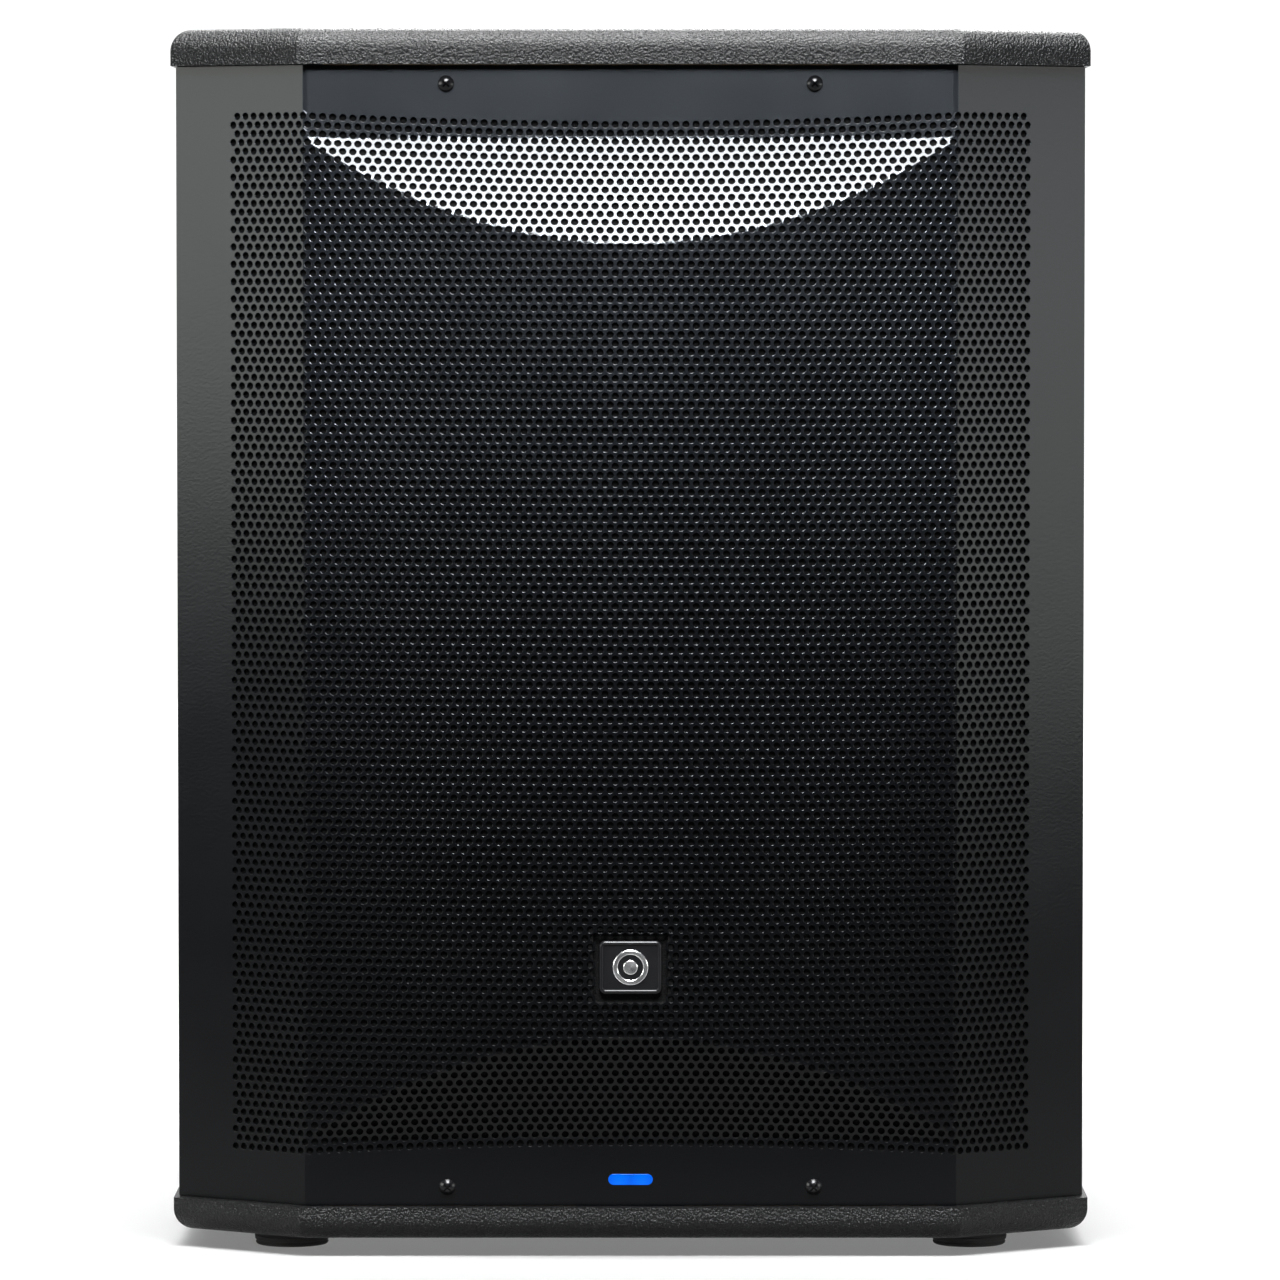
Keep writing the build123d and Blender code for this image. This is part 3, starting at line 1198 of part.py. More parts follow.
LINING = 12.0
CUP_ROOM = 6.0
with BuildPart() as damping_lining:
    for side in (-1, 1):
        near, far = sorted((side * INNER_X, side * (INNER_X - LINING)))
        box_between((near, BAFFLE_BACK + 5, SHELF_TOP + 5), (far, BRACE_Y - 5, CEILING_Z - 25))
        box_between(
            (near - 1, HANDLE_Y - CUP_LENGTH / 2 - CUP_ROOM, HANDLE_Z - CUP_HEIGHT / 2 - CUP_ROOM),
            (far + 1, HANDLE_Y + CUP_LENGTH / 2 + CUP_ROOM, HANDLE_Z + CUP_HEIGHT / 2 + CUP_ROOM),
            mode=Mode.SUBTRACT,
        )
    box_between(
        (-INNER_X + 25, BAFFLE_BACK + 5, CEILING_Z - LINING), (INNER_X - 25, BRACE_Y - 5, CEILING_Z)
    )
    with Locations((0, 0, CEILING_Z)):
        Hole(POLE_BOSS_RADIUS + 8, depth=LINING)
keep(damping_lining, "damping_lining")
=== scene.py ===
# %% [markdown]
# # The looks of a PA bass cabinet
# A bass loudspeaker for stage use is a plywood box under hard textured paint, with a perforated
# steel grille bowed out over its front. The solid model already holds every piece at its true
# place. This lesson adds what solids leave out: the grille's thousands of holes, the grain of
# each finish, and soft studio light.

import bpy
import numpy as np
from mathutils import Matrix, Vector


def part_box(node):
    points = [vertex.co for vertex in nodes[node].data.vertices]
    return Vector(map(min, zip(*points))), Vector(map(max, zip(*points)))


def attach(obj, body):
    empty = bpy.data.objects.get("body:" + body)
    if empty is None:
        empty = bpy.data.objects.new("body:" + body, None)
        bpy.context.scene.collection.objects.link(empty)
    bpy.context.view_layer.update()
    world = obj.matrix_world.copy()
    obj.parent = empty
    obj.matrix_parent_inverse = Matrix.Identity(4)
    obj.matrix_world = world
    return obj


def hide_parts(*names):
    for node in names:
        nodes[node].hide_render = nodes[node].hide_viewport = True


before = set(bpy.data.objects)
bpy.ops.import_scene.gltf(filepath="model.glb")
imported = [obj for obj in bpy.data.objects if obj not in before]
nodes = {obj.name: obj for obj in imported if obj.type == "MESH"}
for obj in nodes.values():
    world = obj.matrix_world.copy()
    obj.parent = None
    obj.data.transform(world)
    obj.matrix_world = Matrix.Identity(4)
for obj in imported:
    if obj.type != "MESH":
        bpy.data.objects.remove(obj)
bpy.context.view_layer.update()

MM = 0.001

# %% [markdown]
# ## From arrays to a mesh
# A mesh is a list of points and lists of faces. Typing points by hand is slow, and modelling
# them with a mouse can't be repeated. Here each shape is a formula worked out for all its points
# at once, and one helper hands the arrays to Blender. Points are in millimetres until then.

# %% Make a piece from points and faces


def make_piece(name, points, face_sets, body="cabinet", slot=None, stands_for=(), smooth=True):
    """Points (n, 3) in millimetres and face arrays, one per number of corners, become a mesh."""
    mesh = bpy.data.meshes.new(name)
    faces = [face for face_set in face_sets for face in np.asarray(face_set).tolist()]
    mesh.from_pydata((np.asarray(points) * MM).tolist(), [], faces)
    mesh.polygons.foreach_set("use_smooth", np.full(len(faces), smooth))
    piece = bpy.data.objects.new(name, mesh)
    bpy.context.scene.collection.objects.link(piece)
    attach(piece, body)
    if stands_for:
        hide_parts(*stands_for)
    print(f"{name}: {len(points)} points, {len(faces)} faces")
    return piece


def grid_faces(rows, columns, wrap_rows=False, wrap_columns=False):
    """Quads between neighbours of a rows by columns grid; a wrapped side joins last to first."""
    row = np.arange(rows if wrap_rows else rows - 1)[:, None]
    column = np.arange(columns if wrap_columns else columns - 1)[None, :]
    next_row, next_column = (row + 1) % rows, (column + 1) % columns
    corners = [row * columns + column, row * columns + next_column]
    corners += [next_row * columns + next_column, next_row * columns + column]
    full = [np.broadcast_to(corner, (row.size, column.size)) for corner in corners]
    return np.stack(full, -1).reshape(-1, 4)


def weld(points, face_sets):
    """Points nearer than a thousandth of a millimetre become one."""
    keys, first, inverse = np.unique(
        np.round(points, 3), axis=0, return_index=True, return_inverse=True
    )
    return points[first], [inverse.reshape(-1)[faces] for faces in face_sets]


def outward(points, face_sets):
    """Turns every face round if the volume they enclose, a sum of thin pyramids, is negative."""
    volume = 0.0
    for faces in face_sets:
        for k in range(1, faces.shape[1] - 1):
            a, b, c = (points[faces[:, corner]] for corner in (0, k, k + 1))
            volume += np.einsum("ij,ij->", a, np.cross(b, c))
    return points, [faces[:, ::-1] if volume < 0 else faces for faces in face_sets]


def ring_skin(rings, close_first=True):
    """Rings (levels, around, 3) joined into a skin; the last, and the first if asked, is closed."""
    levels, around = rings.shape[:2]
    centres = np.stack([rings[-1].mean(0), rings[0].mean(0)])
    points = np.concatenate([rings.reshape(-1, 3), centres])
    start = levels * around
    step = np.arange(around)
    after = (step + 1) % around
    last = start - around
    caps = [np.stack([np.full(around, start), last + step, last + after], -1)]
    if close_first:
        caps.append(np.stack([np.full(around, start + 1), after, step], -1))
    quads = grid_faces(levels, around, wrap_columns=True)
    if not close_first:
        return points[:-1], [quads, caps[0]]
    return outward(points, [quads, np.concatenate(caps)])


# %% [markdown]
# ## The grille as one sheet
# The real grille is flat perforated steel, folded at two upright lines and pressed outwards in
# the middle. A boolean of ten thousand cylinders would be slow and fragile. It is easier to
# think like the press: draw on the flat sheet with coordinates across and up, and let one
# formula bend the drawing into place. Anything drawn on the sheet then follows the folds.

# %% Bend the flat sheet
grille_low, grille_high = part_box("grille")
SIDE_X = grille_high.x / MM
CROWN_Y = grille_low.y / MM
LIP_Y = grille_high.y / MM
SHEET_LOW, SHEET_HIGH = grille_low.z / MM, grille_high.z / MM
CROWN, FACET = 24.0, 57.0  # how far the middle stands out, and the sloping facets' height
FOLD_X, WING_ANGLE, FOLD_RADIUS = 178.0, np.radians(33), 4.0
BORDER_Y = CROWN_Y + CROWN
CROWN_RADIUS = (FOLD_X**2 + CROWN**2) / (2 * CROWN)
SLOPE = np.arctan2(CROWN, FACET)
FACET_TOP, FACET_BOTTOM, MIDDLE_Z = SHEET_HIGH - 40.0, SHEET_LOW + 37.5, 343.1
FOLD_START = FOLD_X - FOLD_RADIUS * np.tan(WING_ANGLE / 2)
FOLD_END = FOLD_START + FOLD_RADIUS * WING_ANGLE
WING_END = FOLD_END + (SIDE_X - FOLD_START - FOLD_RADIUS * np.sin(WING_ANGLE)) / np.cos(WING_ANGLE)


def bulge_at(across):
    """Depth of the upright cylinder in front of the border plane: circle height minus chord."""
    inside = np.minimum(np.abs(across), FOLD_X)
    return np.sqrt(CROWN_RADIUS**2 - inside**2) - (CROWN_RADIUS - CROWN)


def climb(run, line, bulge):
    """Height gained and depth lost after a run along the sheet: upright, sloping, upright."""
    height = bulge / np.tan(SLOPE)
    upright = line - height
    sloped = np.clip(run - upright, 0, height / np.cos(SLOPE))
    beyond = np.maximum(run - upright - height / np.cos(SLOPE), 0)
    return np.minimum(run, upright) + sloped * np.cos(SLOPE) + beyond, sloped * np.sin(SLOPE)


def bend(across, up):
    """Flat sheet to space: arcs at the folds turn the wings back, the middle follows the crown."""
    across, up = np.broadcast_arrays(np.asarray(across, float), np.asarray(up, float))
    span = np.abs(across)
    turn = np.clip((span - FOLD_START) / FOLD_RADIUS, 0, WING_ANGLE)
    wing = np.clip(span - FOLD_END, 0, WING_END - FOLD_END)
    lip = np.maximum(span - WING_END, 0)
    bulge = bulge_at(across)
    facet_line = np.where(up > 0, FACET_TOP - MIDDLE_Z, MIDDLE_Z - FACET_BOTTOM)
    rise, fall = climb(np.abs(up), facet_line, bulge)
    arc_x, arc_y = FOLD_RADIUS * np.sin(turn), FOLD_RADIUS * (1 - np.cos(turn))
    x = np.sign(across) * (np.minimum(span, FOLD_START) + arc_x + wing * np.cos(WING_ANGLE))
    y = BORDER_Y - bulge + fall + arc_y + wing * np.sin(WING_ANGLE) + lip
    return np.stack([x, y, MIDDLE_Z + np.sign(up) * rise], -1)


def edge_run(across, edge_z):
    """The run up the sheet that ends at height edge_z: the slope's extra length is added."""
    extra = bulge_at(across) / np.tan(SLOPE) * (1 / np.cos(SLOPE) - 1)
    return (edge_z - MIDDLE_Z) + np.sign(edge_z - MIDDLE_Z) * extra


print("crown point:", bend(0.0, 0.0).round(2), "fold:", bend(FOLD_X, 0.0).round(2))

# %% [markdown]
# ## Ten thousand holes
# The holes sit in a triangular lattice, 5.5 mm apart. Around each one lies a hexagon that
# belongs to it alone, and the hexagons tile the sheet like honeycomb. So the whole field is one
# small pattern, a hexagon with a round hole, copied to every lattice point with whole-number
# corner keys, which makes shared corners easy to weld. Solidify then gives the steel its
# thickness and the holes their walls.

# %% Perforate the field
PITCH, HOLE_RADIUS, STEEL = 5.5, 1.98, 1.2
RIM_WIDTH, RIM_DEPTH = 0.16, 0.07  # the punch rounds each hole's edge a little
ROW = PITCH * np.sqrt(3) / 2
FIRST_ROW, LAST_ROW, HALF_COLUMNS = -60, 59, 41
BADGE_Z = (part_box("badge_plate")[0].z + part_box("badge_plate")[1].z) / 2 / MM
WINDOW = (19.6, 19.0)  # half-size of the field's opening for the badge
CORNER_STEPS = np.array([(1, 1), (0, 2), (-1, 1), (-1, -1), (0, -2), (1, -1)])


def sheet_of(keys):
    """Lattice keys count half pitches across and thirds of a row up."""
    return keys[..., 0] * PITCH / 2, keys[..., 1] * ROW / 3


def lattice(first_row, last_row):
    """Keys of the hole centres: every second row moves half a pitch, and the badge is left out."""
    rows = np.arange(first_row, last_row + 1)
    columns = np.arange(-HALF_COLUMNS, HALF_COLUMNS + 1)
    row, column = np.meshgrid(rows, columns, indexing="ij")
    odd = row % 2
    keys = np.stack([2 * column + odd, 3 * row], -1)[~((odd == 1) & (column == HALF_COLUMNS))]
    place = bend(*sheet_of(keys))
    at_badge = (np.abs(place[:, 0]) < WINDOW[0]) & (np.abs(place[:, 2] - BADGE_Z) < WINDOW[1])
    return keys[~at_badge]


def perforated(keys):
    """Each cell: six five-cornered faces from its hexagon to a sloping rim round the hole."""
    corners = keys[:, None, :] + CORNER_STEPS
    unique, inverse = np.unique(corners.reshape(-1, 2), axis=0, return_inverse=True)
    corner = inverse.reshape(-1, 6)
    angle = np.radians(30) * np.arange(12)
    across, up = (line[:, None] for line in sheet_of(keys))
    rims = []
    for radius, depth in ((HOLE_RADIUS + RIM_WIDTH, 0.0), (HOLE_RADIUS, RIM_DEPTH)):
        rim = bend(across + radius * np.cos(angle), up + radius * np.sin(angle))
        rims.append(rim + np.array([0.0, depth, 0.0]))
    rim_number = np.arange(len(keys) * 12).reshape(-1, 12)
    outer, inner = len(unique) + rim_number, len(unique) + rim_number.size + rim_number
    fives = []
    for k in range(6):
        near, middle, far = (2 * k + 1) % 12, (2 * k + 2) % 12, (2 * k + 3) % 12
        loop = [corner[:, k], corner[:, (k + 1) % 6]]
        loop += [outer[:, far], outer[:, middle], outer[:, near]]
        fives.append(np.stack(loop, -1))
    after = np.roll(np.arange(12), -1)
    slopes = np.stack([outer, outer[:, after], inner[:, after], inner], -1).reshape(-1, 4)
    points = [bend(*sheet_of(unique)), *(rim.reshape(-1, 3) for rim in rims)]
    return np.concatenate(points), [np.concatenate(fives), slopes]


def thicken(piece, thickness):
    """Solidify, growing behind the drawn face."""
    wall = piece.modifiers.new("steel", "SOLIDIFY")
    wall.thickness = thickness * MM
    wall.offset = -1
    return piece


grille_pieces = []
bands = np.linspace(FIRST_ROW, LAST_ROW + 1, 9).astype(int)
for number, (first, following) in enumerate(zip(bands[:-1], bands[1:])):
    points, faces = perforated(lattice(first, following - 1))
    band = make_piece(f"grille_field_{number + 1}", points, faces, slot="grille_steel",
                      stands_for=["grille"], smooth=False)
    grille_pieces.append(thicken(band, STEEL))
print("holes:", len(lattice(FIRST_ROW, LAST_ROW)))

# %% [markdown]
# ## The plain border
# Around the holes the steel is left whole, so that it can be folded and screwed. Its inner edge
# has to meet the honeycomb's zigzag exactly. The zigzag is known in whole numbers, so four
# strips run from it to the sheet's straight edges, and welding joins them at the corners.

# %% Fill the border
side_rows = np.arange(FIRST_ROW, LAST_ROW + 1)
side_keys = np.stack([2 * HALF_COLUMNS + 1 - np.repeat(side_rows % 2, 2),
                      np.stack([3 * side_rows - 1, 3 * side_rows + 1], -1).reshape(-1)], -1)


def end_strip(row, sign):
    """Straight lines on the flat sheet from an end row's zigzag to the sheet's edge."""
    half = 2 * HALF_COLUMNS + 1 - row % 2
    key = np.arange(-half, half + 1)
    across, up = sheet_of(np.stack([key, 3 * row + sign * (1 + (key - row + 1) % 2)], -1))
    goal = edge_run(across, SHEET_HIGH if sign > 0 else SHEET_LOW)
    return bend(across[:, None], np.stack([up, goal], -1))


def side_strip(sign):
    """Zigzag to the wing's back edge and round the lip, with a plain row at each end."""
    across, up = sheet_of(side_keys)
    low, high = edge_run(across[:1], SHEET_LOW), edge_run(across[-1:], SHEET_HIGH)
    across = np.concatenate([across[:1], across, across[-1:]])
    up = np.concatenate([low, up, high])
    lip = WING_END + LIP_Y - bend(WING_END, 0.0)[1]
    columns = np.concatenate(
        [across[:, None] + (WING_END - across[:, None]) * np.linspace(0, 1, 7)[None, :],
         np.full((len(across), 1), lip)], axis=1)
    return bend(sign * columns, np.broadcast_to(up[:, None], columns.shape))


strips = []
for sign, row in ((1, LAST_ROW), (-1, FIRST_ROW)):
    strips.append((end_strip(row, sign), sign > 0))
    strips.append((side_strip(sign), sign < 0))
all_points, all_faces, count = [], [], 0
for strip, turned in strips:
    faces = grid_faces(*strip.shape[:2])
    all_faces.append((faces[:, ::-1] if turned else faces) + count)
    all_points.append(strip.reshape(-1, 3))
    count += strip.shape[0] * strip.shape[1]
points, faces = weld(np.concatenate(all_points), [np.concatenate(all_faces)])
border = make_piece("grille_border", points, faces, slot="grille_steel", stands_for=["grille"],
                    smooth=False)
grille_pieces.append(thicken(border, STEEL))

# %% [markdown]
# ## Writing a finish as a sum
# A material in Blender is a graph of nodes. Wired by hand in a script, even a small sum takes
# a dozen lines. One small class that stands for a socket and answers to + - * / lets a pattern
# be written the way it is thought of. Everything that isn't arithmetic goes through one method.

# %% A socket that can be calculated with


class Signal:
    """An output socket in a node tree; arithmetic on it adds Math nodes."""

    def __init__(self, tree, socket):
        self.tree, self.socket = tree, socket

    def math(self, operation, *others):
        return add_node(self.tree, "Math", {"operation": operation}, [self, *others])

    def __add__(self, other):
        return self.math("ADD", other)

    def __sub__(self, other):
        return self.math("SUBTRACT", other)

    def __rsub__(self, other):
        return add_node(self.tree, "Math", {"operation": "SUBTRACT"}, [other, self])

    def __mul__(self, other):
        return self.math("MULTIPLY", other)

    __radd__, __rmul__ = __add__, __mul__

    def __truediv__(self, other):
        return self.math("DIVIDE", other)

    def between(self, low, high):
        """0 below low, 1 above high, smooth between; low above high turns it round."""
        inputs = {"Value": self, "From Min": low, "From Max": high}
        return add_node(self.tree, "MapRange", {"interpolation_type": "SMOOTHSTEP"}, inputs)

    def tint(self, dark, light):
        """Mixes two colours, or signals, by this value."""
        inputs = {0: self, 6: dark, 7: light}
        return add_node(self.tree, "Mix", {"data_type": "RGBA"}, inputs, output=2)

    def axis(self, name):
        """One coordinate of a vector signal."""
        return add_node(self.tree, "SeparateXYZ", {}, {"Vector": self}, output=name)


def add_node(tree, kind, settings, inputs, output=0):
    """Adds a shader node: settings first, then the values or links of its sockets."""
    node = tree.nodes.new("ShaderNode" + kind)
    for name, value in settings.items():
        setattr(node, name, value)
    pairs = inputs.items() if isinstance(inputs, dict) else enumerate(inputs)
    for name, value in pairs:
        if isinstance(value, Signal):
            tree.links.new(value.socket, node.inputs[name])
        else:
            colour = isinstance(value, tuple) and len(value) == 3
            if colour and len(node.inputs[name].default_value) == 4:
                value = (*value, 1.0)
            node.inputs[name].default_value = value
    return Signal(tree, node.outputs[output])


class Finish:
    """A material: constants go straight on the shader's sockets, patterns are linked to it."""

    def __init__(self, name, **constants):
        self.material = bpy.data.materials.new(name)
        self.material.use_nodes = True
        self.tree = self.material.node_tree
        self.shader = self.tree.nodes["Principled BSDF"]
        for socket, value in constants.items():
            self.shader.inputs[socket.replace("_", " ")].default_value = value
        self.place = self.node("TexCoord", {}, {}, output="Object")

    def node(self, kind, settings, inputs, output=0):
        return add_node(self.tree, kind, settings, inputs, output)

    def noise(self, size, detail=2.0, stretch=None):
        """Fractal noise whose lumps are about size millimetres across."""
        inputs = {"Vector": self.stretched(stretch), "Scale": 1 / (size * MM), "Detail": detail}
        return self.node("TexNoise", {}, inputs)

    def cells(self, size, feature="F1", stretch=None):
        """Voronoi cells about size millimetres across."""
        inputs = {"Vector": self.stretched(stretch), "Scale": 1 / (size * MM)}
        return self.node("TexVoronoi", {"feature": feature}, inputs, output="Distance")

    def stretched(self, stretch):
        if stretch is None:
            return self.place
        settings = {"operation": "MULTIPLY"}
        return self.node("VectorMath", settings, [self.place, stretch])

    def lay(self, **signals):
        """Links signals to the shader, such as Base_Color or Roughness."""
        for socket, signal in signals.items():
            self.tree.links.new(signal.socket, self.shader.inputs[socket.replace("_", " ")])
        return self

    def emboss(self, height, depth):
        """Bump of a height signal, whose full range is depth millimetres."""
        inputs = {"Height": height, "Distance": depth * MM, "Strength": 1.0}
        return self.lay(Normal=self.node("Bump", {}, inputs))


def paint(finish, *targets):
    """Gives a finish to CAD nodes, by name, and to new pieces."""
    for target in targets:
        piece = nodes[target] if isinstance(target, str) else target
        piece.data.materials.clear()
        piece.data.materials.append(finish.material)
    names = [t if isinstance(t, str) else t.name for t in targets]
    print(f"{finish.material.name}: {', '.join(names)}")


# %% [markdown]
# ## Textured paint
# Stage cabinets are sprayed with a thick black coating that dries in small hard pimples, so
# that scratches don't show. Two sizes of rounded cells, broken up by noise, make the pimples.
# Their tops are smoother than the valleys between them, which gives the coating its glitter, and
# they are painted a little lighter, a painted highlight.

# %% Textured paint on the plywood


def textured_paint(name, grain):
    coat = Finish(name, Specular_IOR_Level=0.22)
    pimples = 1 - coat.cells(grain, "SMOOTH_F1")
    specks = 1 - coat.cells(grain * 0.45)
    drift = coat.noise(60, 3.0)
    height = pimples * 0.62 + specks * 0.2 + coat.noise(grain * 0.5, 4.0) * 0.25
    tops = height.between(0.45, 0.85)
    # painted highlight: the pimples' tops are painted lighter; the slow drift is random tone
    coat.lay(
        Base_Color=(tops * 0.55 + drift * 0.45).tint((0.0008, 0.0008, 0.001),
                                                     (0.004, 0.0042, 0.0045)),
        Roughness=0.32 - tops * 0.16 + drift * 0.05,
    )
    return coat.emboss(height, 1.3)


panel_paint = textured_paint("textured_black_paint", 1.15)
paint(panel_paint, "top_plate", "bottom_plate", "side_panel_right", "side_panel_left", "back_panel")

# %% [markdown]
# ## Powder coat on the grille
# Powder melts into a thin satin film with a faint orange-peel wave. It is smoother than the
# cabinet's paint, so the folds and facets catch long soft highlights.

# %% Satin powder coat
powder = Finish("satin_powder_coat", Specular_IOR_Level=0.16)
peel = powder.noise(1.6, 2.0)
cloud = powder.noise(45, 3.0)
powder.lay(
    Base_Color=(cloud * 0.6 + peel * 0.4).tint((0.0004, 0.0005, 0.0007), (0.0016, 0.0018, 0.0022)),
    Roughness=0.19 + cloud * 0.05 + peel * 0.04,
).emboss(peel, 0.05)
paint(powder, *grille_pieces)

# %% [markdown]
# ## Foam behind the steel
# A sheet of open foam keeps dust off the cone and makes the holes look black from outside. Open
# foam is a net of thin ribs between bubbles, so the borders between cells are what shows; the
# bubbles between them are painted darker, as painted shade inside the open cells.

# %% Open-cell foam
foam = Finish("open_black_foam", Roughness=0.95, Specular_IOR_Level=0.15)
bubbles = foam.cells(1.3, "DISTANCE_TO_EDGE")
ribs = bubbles.between(0.16, 0.02)
# painted shade: the bubbles between the ribs are painted darker
foam.lay(Base_Color=ribs.tint((0.0005, 0.0005, 0.0006), (0.003, 0.003, 0.0034))).emboss(ribs, 0.5)
paint(foam, "grille_foam")

# %% [markdown]
# ## Moulded plastic and rubber
# Handle cups, sockets and knobs are moulded in tools whose walls are spark-eroded, which leaves
# an even pebble grain. Rubber is duller and paler. Each pebble's top is painted a little lighter,
# a painted highlight. One function gives both, from the size of the grain and how shiny the tops
# are.

# %% Moulded finishes


def moulded(name, dark, light, grain, shine, depth=0.06):
    plastic = Finish(name, IOR=1.48)
    pebbles = 1 - plastic.cells(grain, "SMOOTH_F1")
    smear = plastic.noise(grain * 28, 3.0)
    # painted highlight: each pebble's top is painted lighter; the broad smear is random tone
    plastic.lay(
        Base_Color=(pebbles * 0.35 + smear * 0.65).tint(dark, light),
        Roughness=shine + smear * 0.14 - pebbles * 0.08,
    )
    return plastic.emboss(pebbles + plastic.noise(grain * 0.6) * 0.3, depth)


black_plastic = moulded("grained_black_plastic", (0.010, 0.010, 0.011), (0.024, 0.024, 0.026),
                        0.7, 0.46)
smooth_plastic = moulded("satin_black_plastic", (0.002, 0.002, 0.0024), (0.006, 0.006, 0.007),
                         0.35, 0.3, 0.02)
smooth_plastic.shader.inputs["Specular IOR Level"].default_value = 0.25
rubber = moulded("black_rubber", (0.010, 0.010, 0.010), (0.034, 0.033, 0.032), 1.1, 0.7, 0.1)
red_plastic = moulded("red_plastic", (0.30, 0.012, 0.010), (0.45, 0.022, 0.016), 0.5, 0.35, 0.03)
paint(black_plastic, "handle_cup_right", "handle_cup_left", "input_sockets", "output_sockets",
      "power_entry", "fuse_drawer", "woofer_terminals")
paint(rubber, "woofer_gasket", "amp_gasket", "woofer_surround")
paint(smooth_plastic, "power_rocker", "polarity_button", "ground_lift_button")
paint(red_plastic, "input_latch_a", "input_latch_b")

# %% [markdown]
# ## Metals
# Screws are blackened, and shine as lacquer does rather than as bare metal. Sheet parts are
# brushed: their fine scratches all run one way, so the noise is squeezed along one axis.
# Castings are blasted and coated, and look like fine sand.

# %% Metal finishes


def metal(name, dark, light, rough, stretch=(1, 1, 1), grain=0.5, depth=0.02, metallic=1.0):
    plate = Finish(name, Metallic=metallic)
    grain_lines = plate.noise(grain, 4.0, stretch)
    stain = plate.noise(14, 4.0)
    plate.lay(
        Base_Color=(grain_lines * 0.5 + stain * 0.5).tint(dark, light),
        Roughness=rough + grain_lines * 0.12 + stain * 0.08,
    )
    return plate.emboss(grain_lines, depth)


black_screws = metal("black_screws", (0.002, 0.002, 0.002), (0.006, 0.006, 0.007), 0.10,
                     metallic=0.0)
black_screws.shader.inputs["Specular IOR Level"].default_value = 0.22
bright_zinc = metal("bright_zinc", (0.42, 0.42, 0.43), (0.66, 0.66, 0.65), 0.26)
steel_sheet = metal("zinc_plated_sheet", (0.40, 0.41, 0.42), (0.62, 0.62, 0.62), 0.3, (1, 1, 0.04))
casting = metal("black_casting", (0.014, 0.014, 0.015), (0.035, 0.035, 0.037), 0.5, grain=0.8,
                depth=0.1, metallic=0.35)
fins = metal("black_anodised_fins", (0.012, 0.012, 0.013), (0.03, 0.03, 0.032), 0.36, (1, 1, 0.05),
             metallic=0.6)
brass = metal("plated_contacts", (0.52, 0.42, 0.20), (0.72, 0.60, 0.30), 0.24)
magnet_iron = metal("sintered_ferrite", (0.035, 0.035, 0.036), (0.075, 0.075, 0.077), 0.55,
                    grain=1.2, depth=0.08, metallic=0.1)
paint(black_screws, "pan_head_screws", "countersunk_screws", "woofer_bolts")
paint(bright_zinc, "foot_screws", "socket_screws", "woofer_top_plate", "woofer_yoke")
paint(steel_sheet, "amp_tray")
paint(casting, "woofer_frame")
paint(fins, "heat_sink")
paint(brass, "inlet_pins")
paint(magnet_iron, "woofer_magnet")

# %% [markdown]
# ## Inside the box
# The pieces that nobody sees are real too, and the model may be opened up. Plywood
# shows long grain on its faces, circuit boards have tracks under a green mask, the cone is
# pressed paper pulp with loose fibres, and the spider is a woven cloth dipped in resin.

# %% Finishes of the inner pieces
plywood = Finish("birch_plywood", Roughness=0.62)
figure = plywood.noise(9, 5.0, (1, 1, 0.07))
pores = plywood.noise(0.7, 2.0, (1, 1, 0.05))
plywood.lay(Base_Color=(figure * 0.7 + pores * 0.3).tint((0.36, 0.21, 0.10), (0.66, 0.47, 0.28)))
plywood.emboss(pores, 0.05)
paint(plywood, "front_baffle", "port_shelf", "port_dividers", "window_brace", "grille_cleats")

circuit = Finish("green_circuit_board", Roughness=0.35)
tracks = circuit.cells(5, "DISTANCE_TO_EDGE").between(0.09, 0.05)
pads = circuit.cells(2.6).between(0.17, 0.12)
circuit.lay(Base_Color=tracks.tint((0.006, 0.055, 0.022), (0.012, 0.13, 0.05)), Metallic=pads * 0.8)
circuit.emboss(tracks + pads, 0.05)
paint(circuit, "led_board", "amp_board", "control_board")

pulp = Finish("pressed_paper_pulp", Roughness=0.8)
fibres = pulp.cells(2.4, "DISTANCE_TO_EDGE", (1, 0.4, 1)).between(0.08, 0.0)
pulp.lay(Base_Color=(fibres * 0.5 + pulp.noise(6) * 0.5).tint((0.010, 0.010, 0.010),
                                                              (0.05, 0.048, 0.045)))
pulp.emboss(fibres, 0.12)
paint(pulp, "woofer_cone", "dust_cap")


def woven(name, dark, light, thread):
    """Two sine waves at right angles, the larger on top, make threads that pass over each other."""
    cloth = Finish(name, Roughness=0.88)
    wave = 6.2832 / (thread * MM)
    warp = (cloth.place.axis("X") * wave).math("SINE")
    weft = (cloth.place.axis("Z") * wave).math("SINE")
    height = warp.math("MAXIMUM", weft) * 0.5 + cloth.noise(thread * 0.5, 3.0) * 0.3
    cloth.lay(Base_Color=height.tint(dark, light))
    return cloth.emboss(height, 0.2)


paint(woven("resin_dipped_cotton", (0.24, 0.13, 0.03), (0.62, 0.42, 0.16), 1.4), "woofer_spider")
paint(woven("grey_fibre_pad", (0.10, 0.10, 0.095), (0.36, 0.35, 0.33), 4.0), "damping_lining")

copper = metal("enamelled_copper", (0.45, 0.16, 0.05), (0.80, 0.36, 0.15), 0.25, (1, 0.03, 1), 0.3)
tape = metal("yellow_winding_tape", (0.32, 0.20, 0.02), (0.60, 0.42, 0.07), 0.4, (1, 0.1, 1), 0.9,
             metallic=0.0)
sleeve = metal("capacitor_sleeve", (0.010, 0.016, 0.06), (0.03, 0.045, 0.14), 0.22, grain=3,
               metallic=0.0)
lead_rubber = metal("red_lead_sheath", (0.16, 0.008, 0.006), (0.34, 0.02, 0.016), 0.45, grain=2,
                    metallic=0.0)
paint(copper, "voice_coil")
paint(tape, "toroid_transformer")
paint(sleeve, "filter_capacitors")
paint(lead_rubber, "speaker_leads")
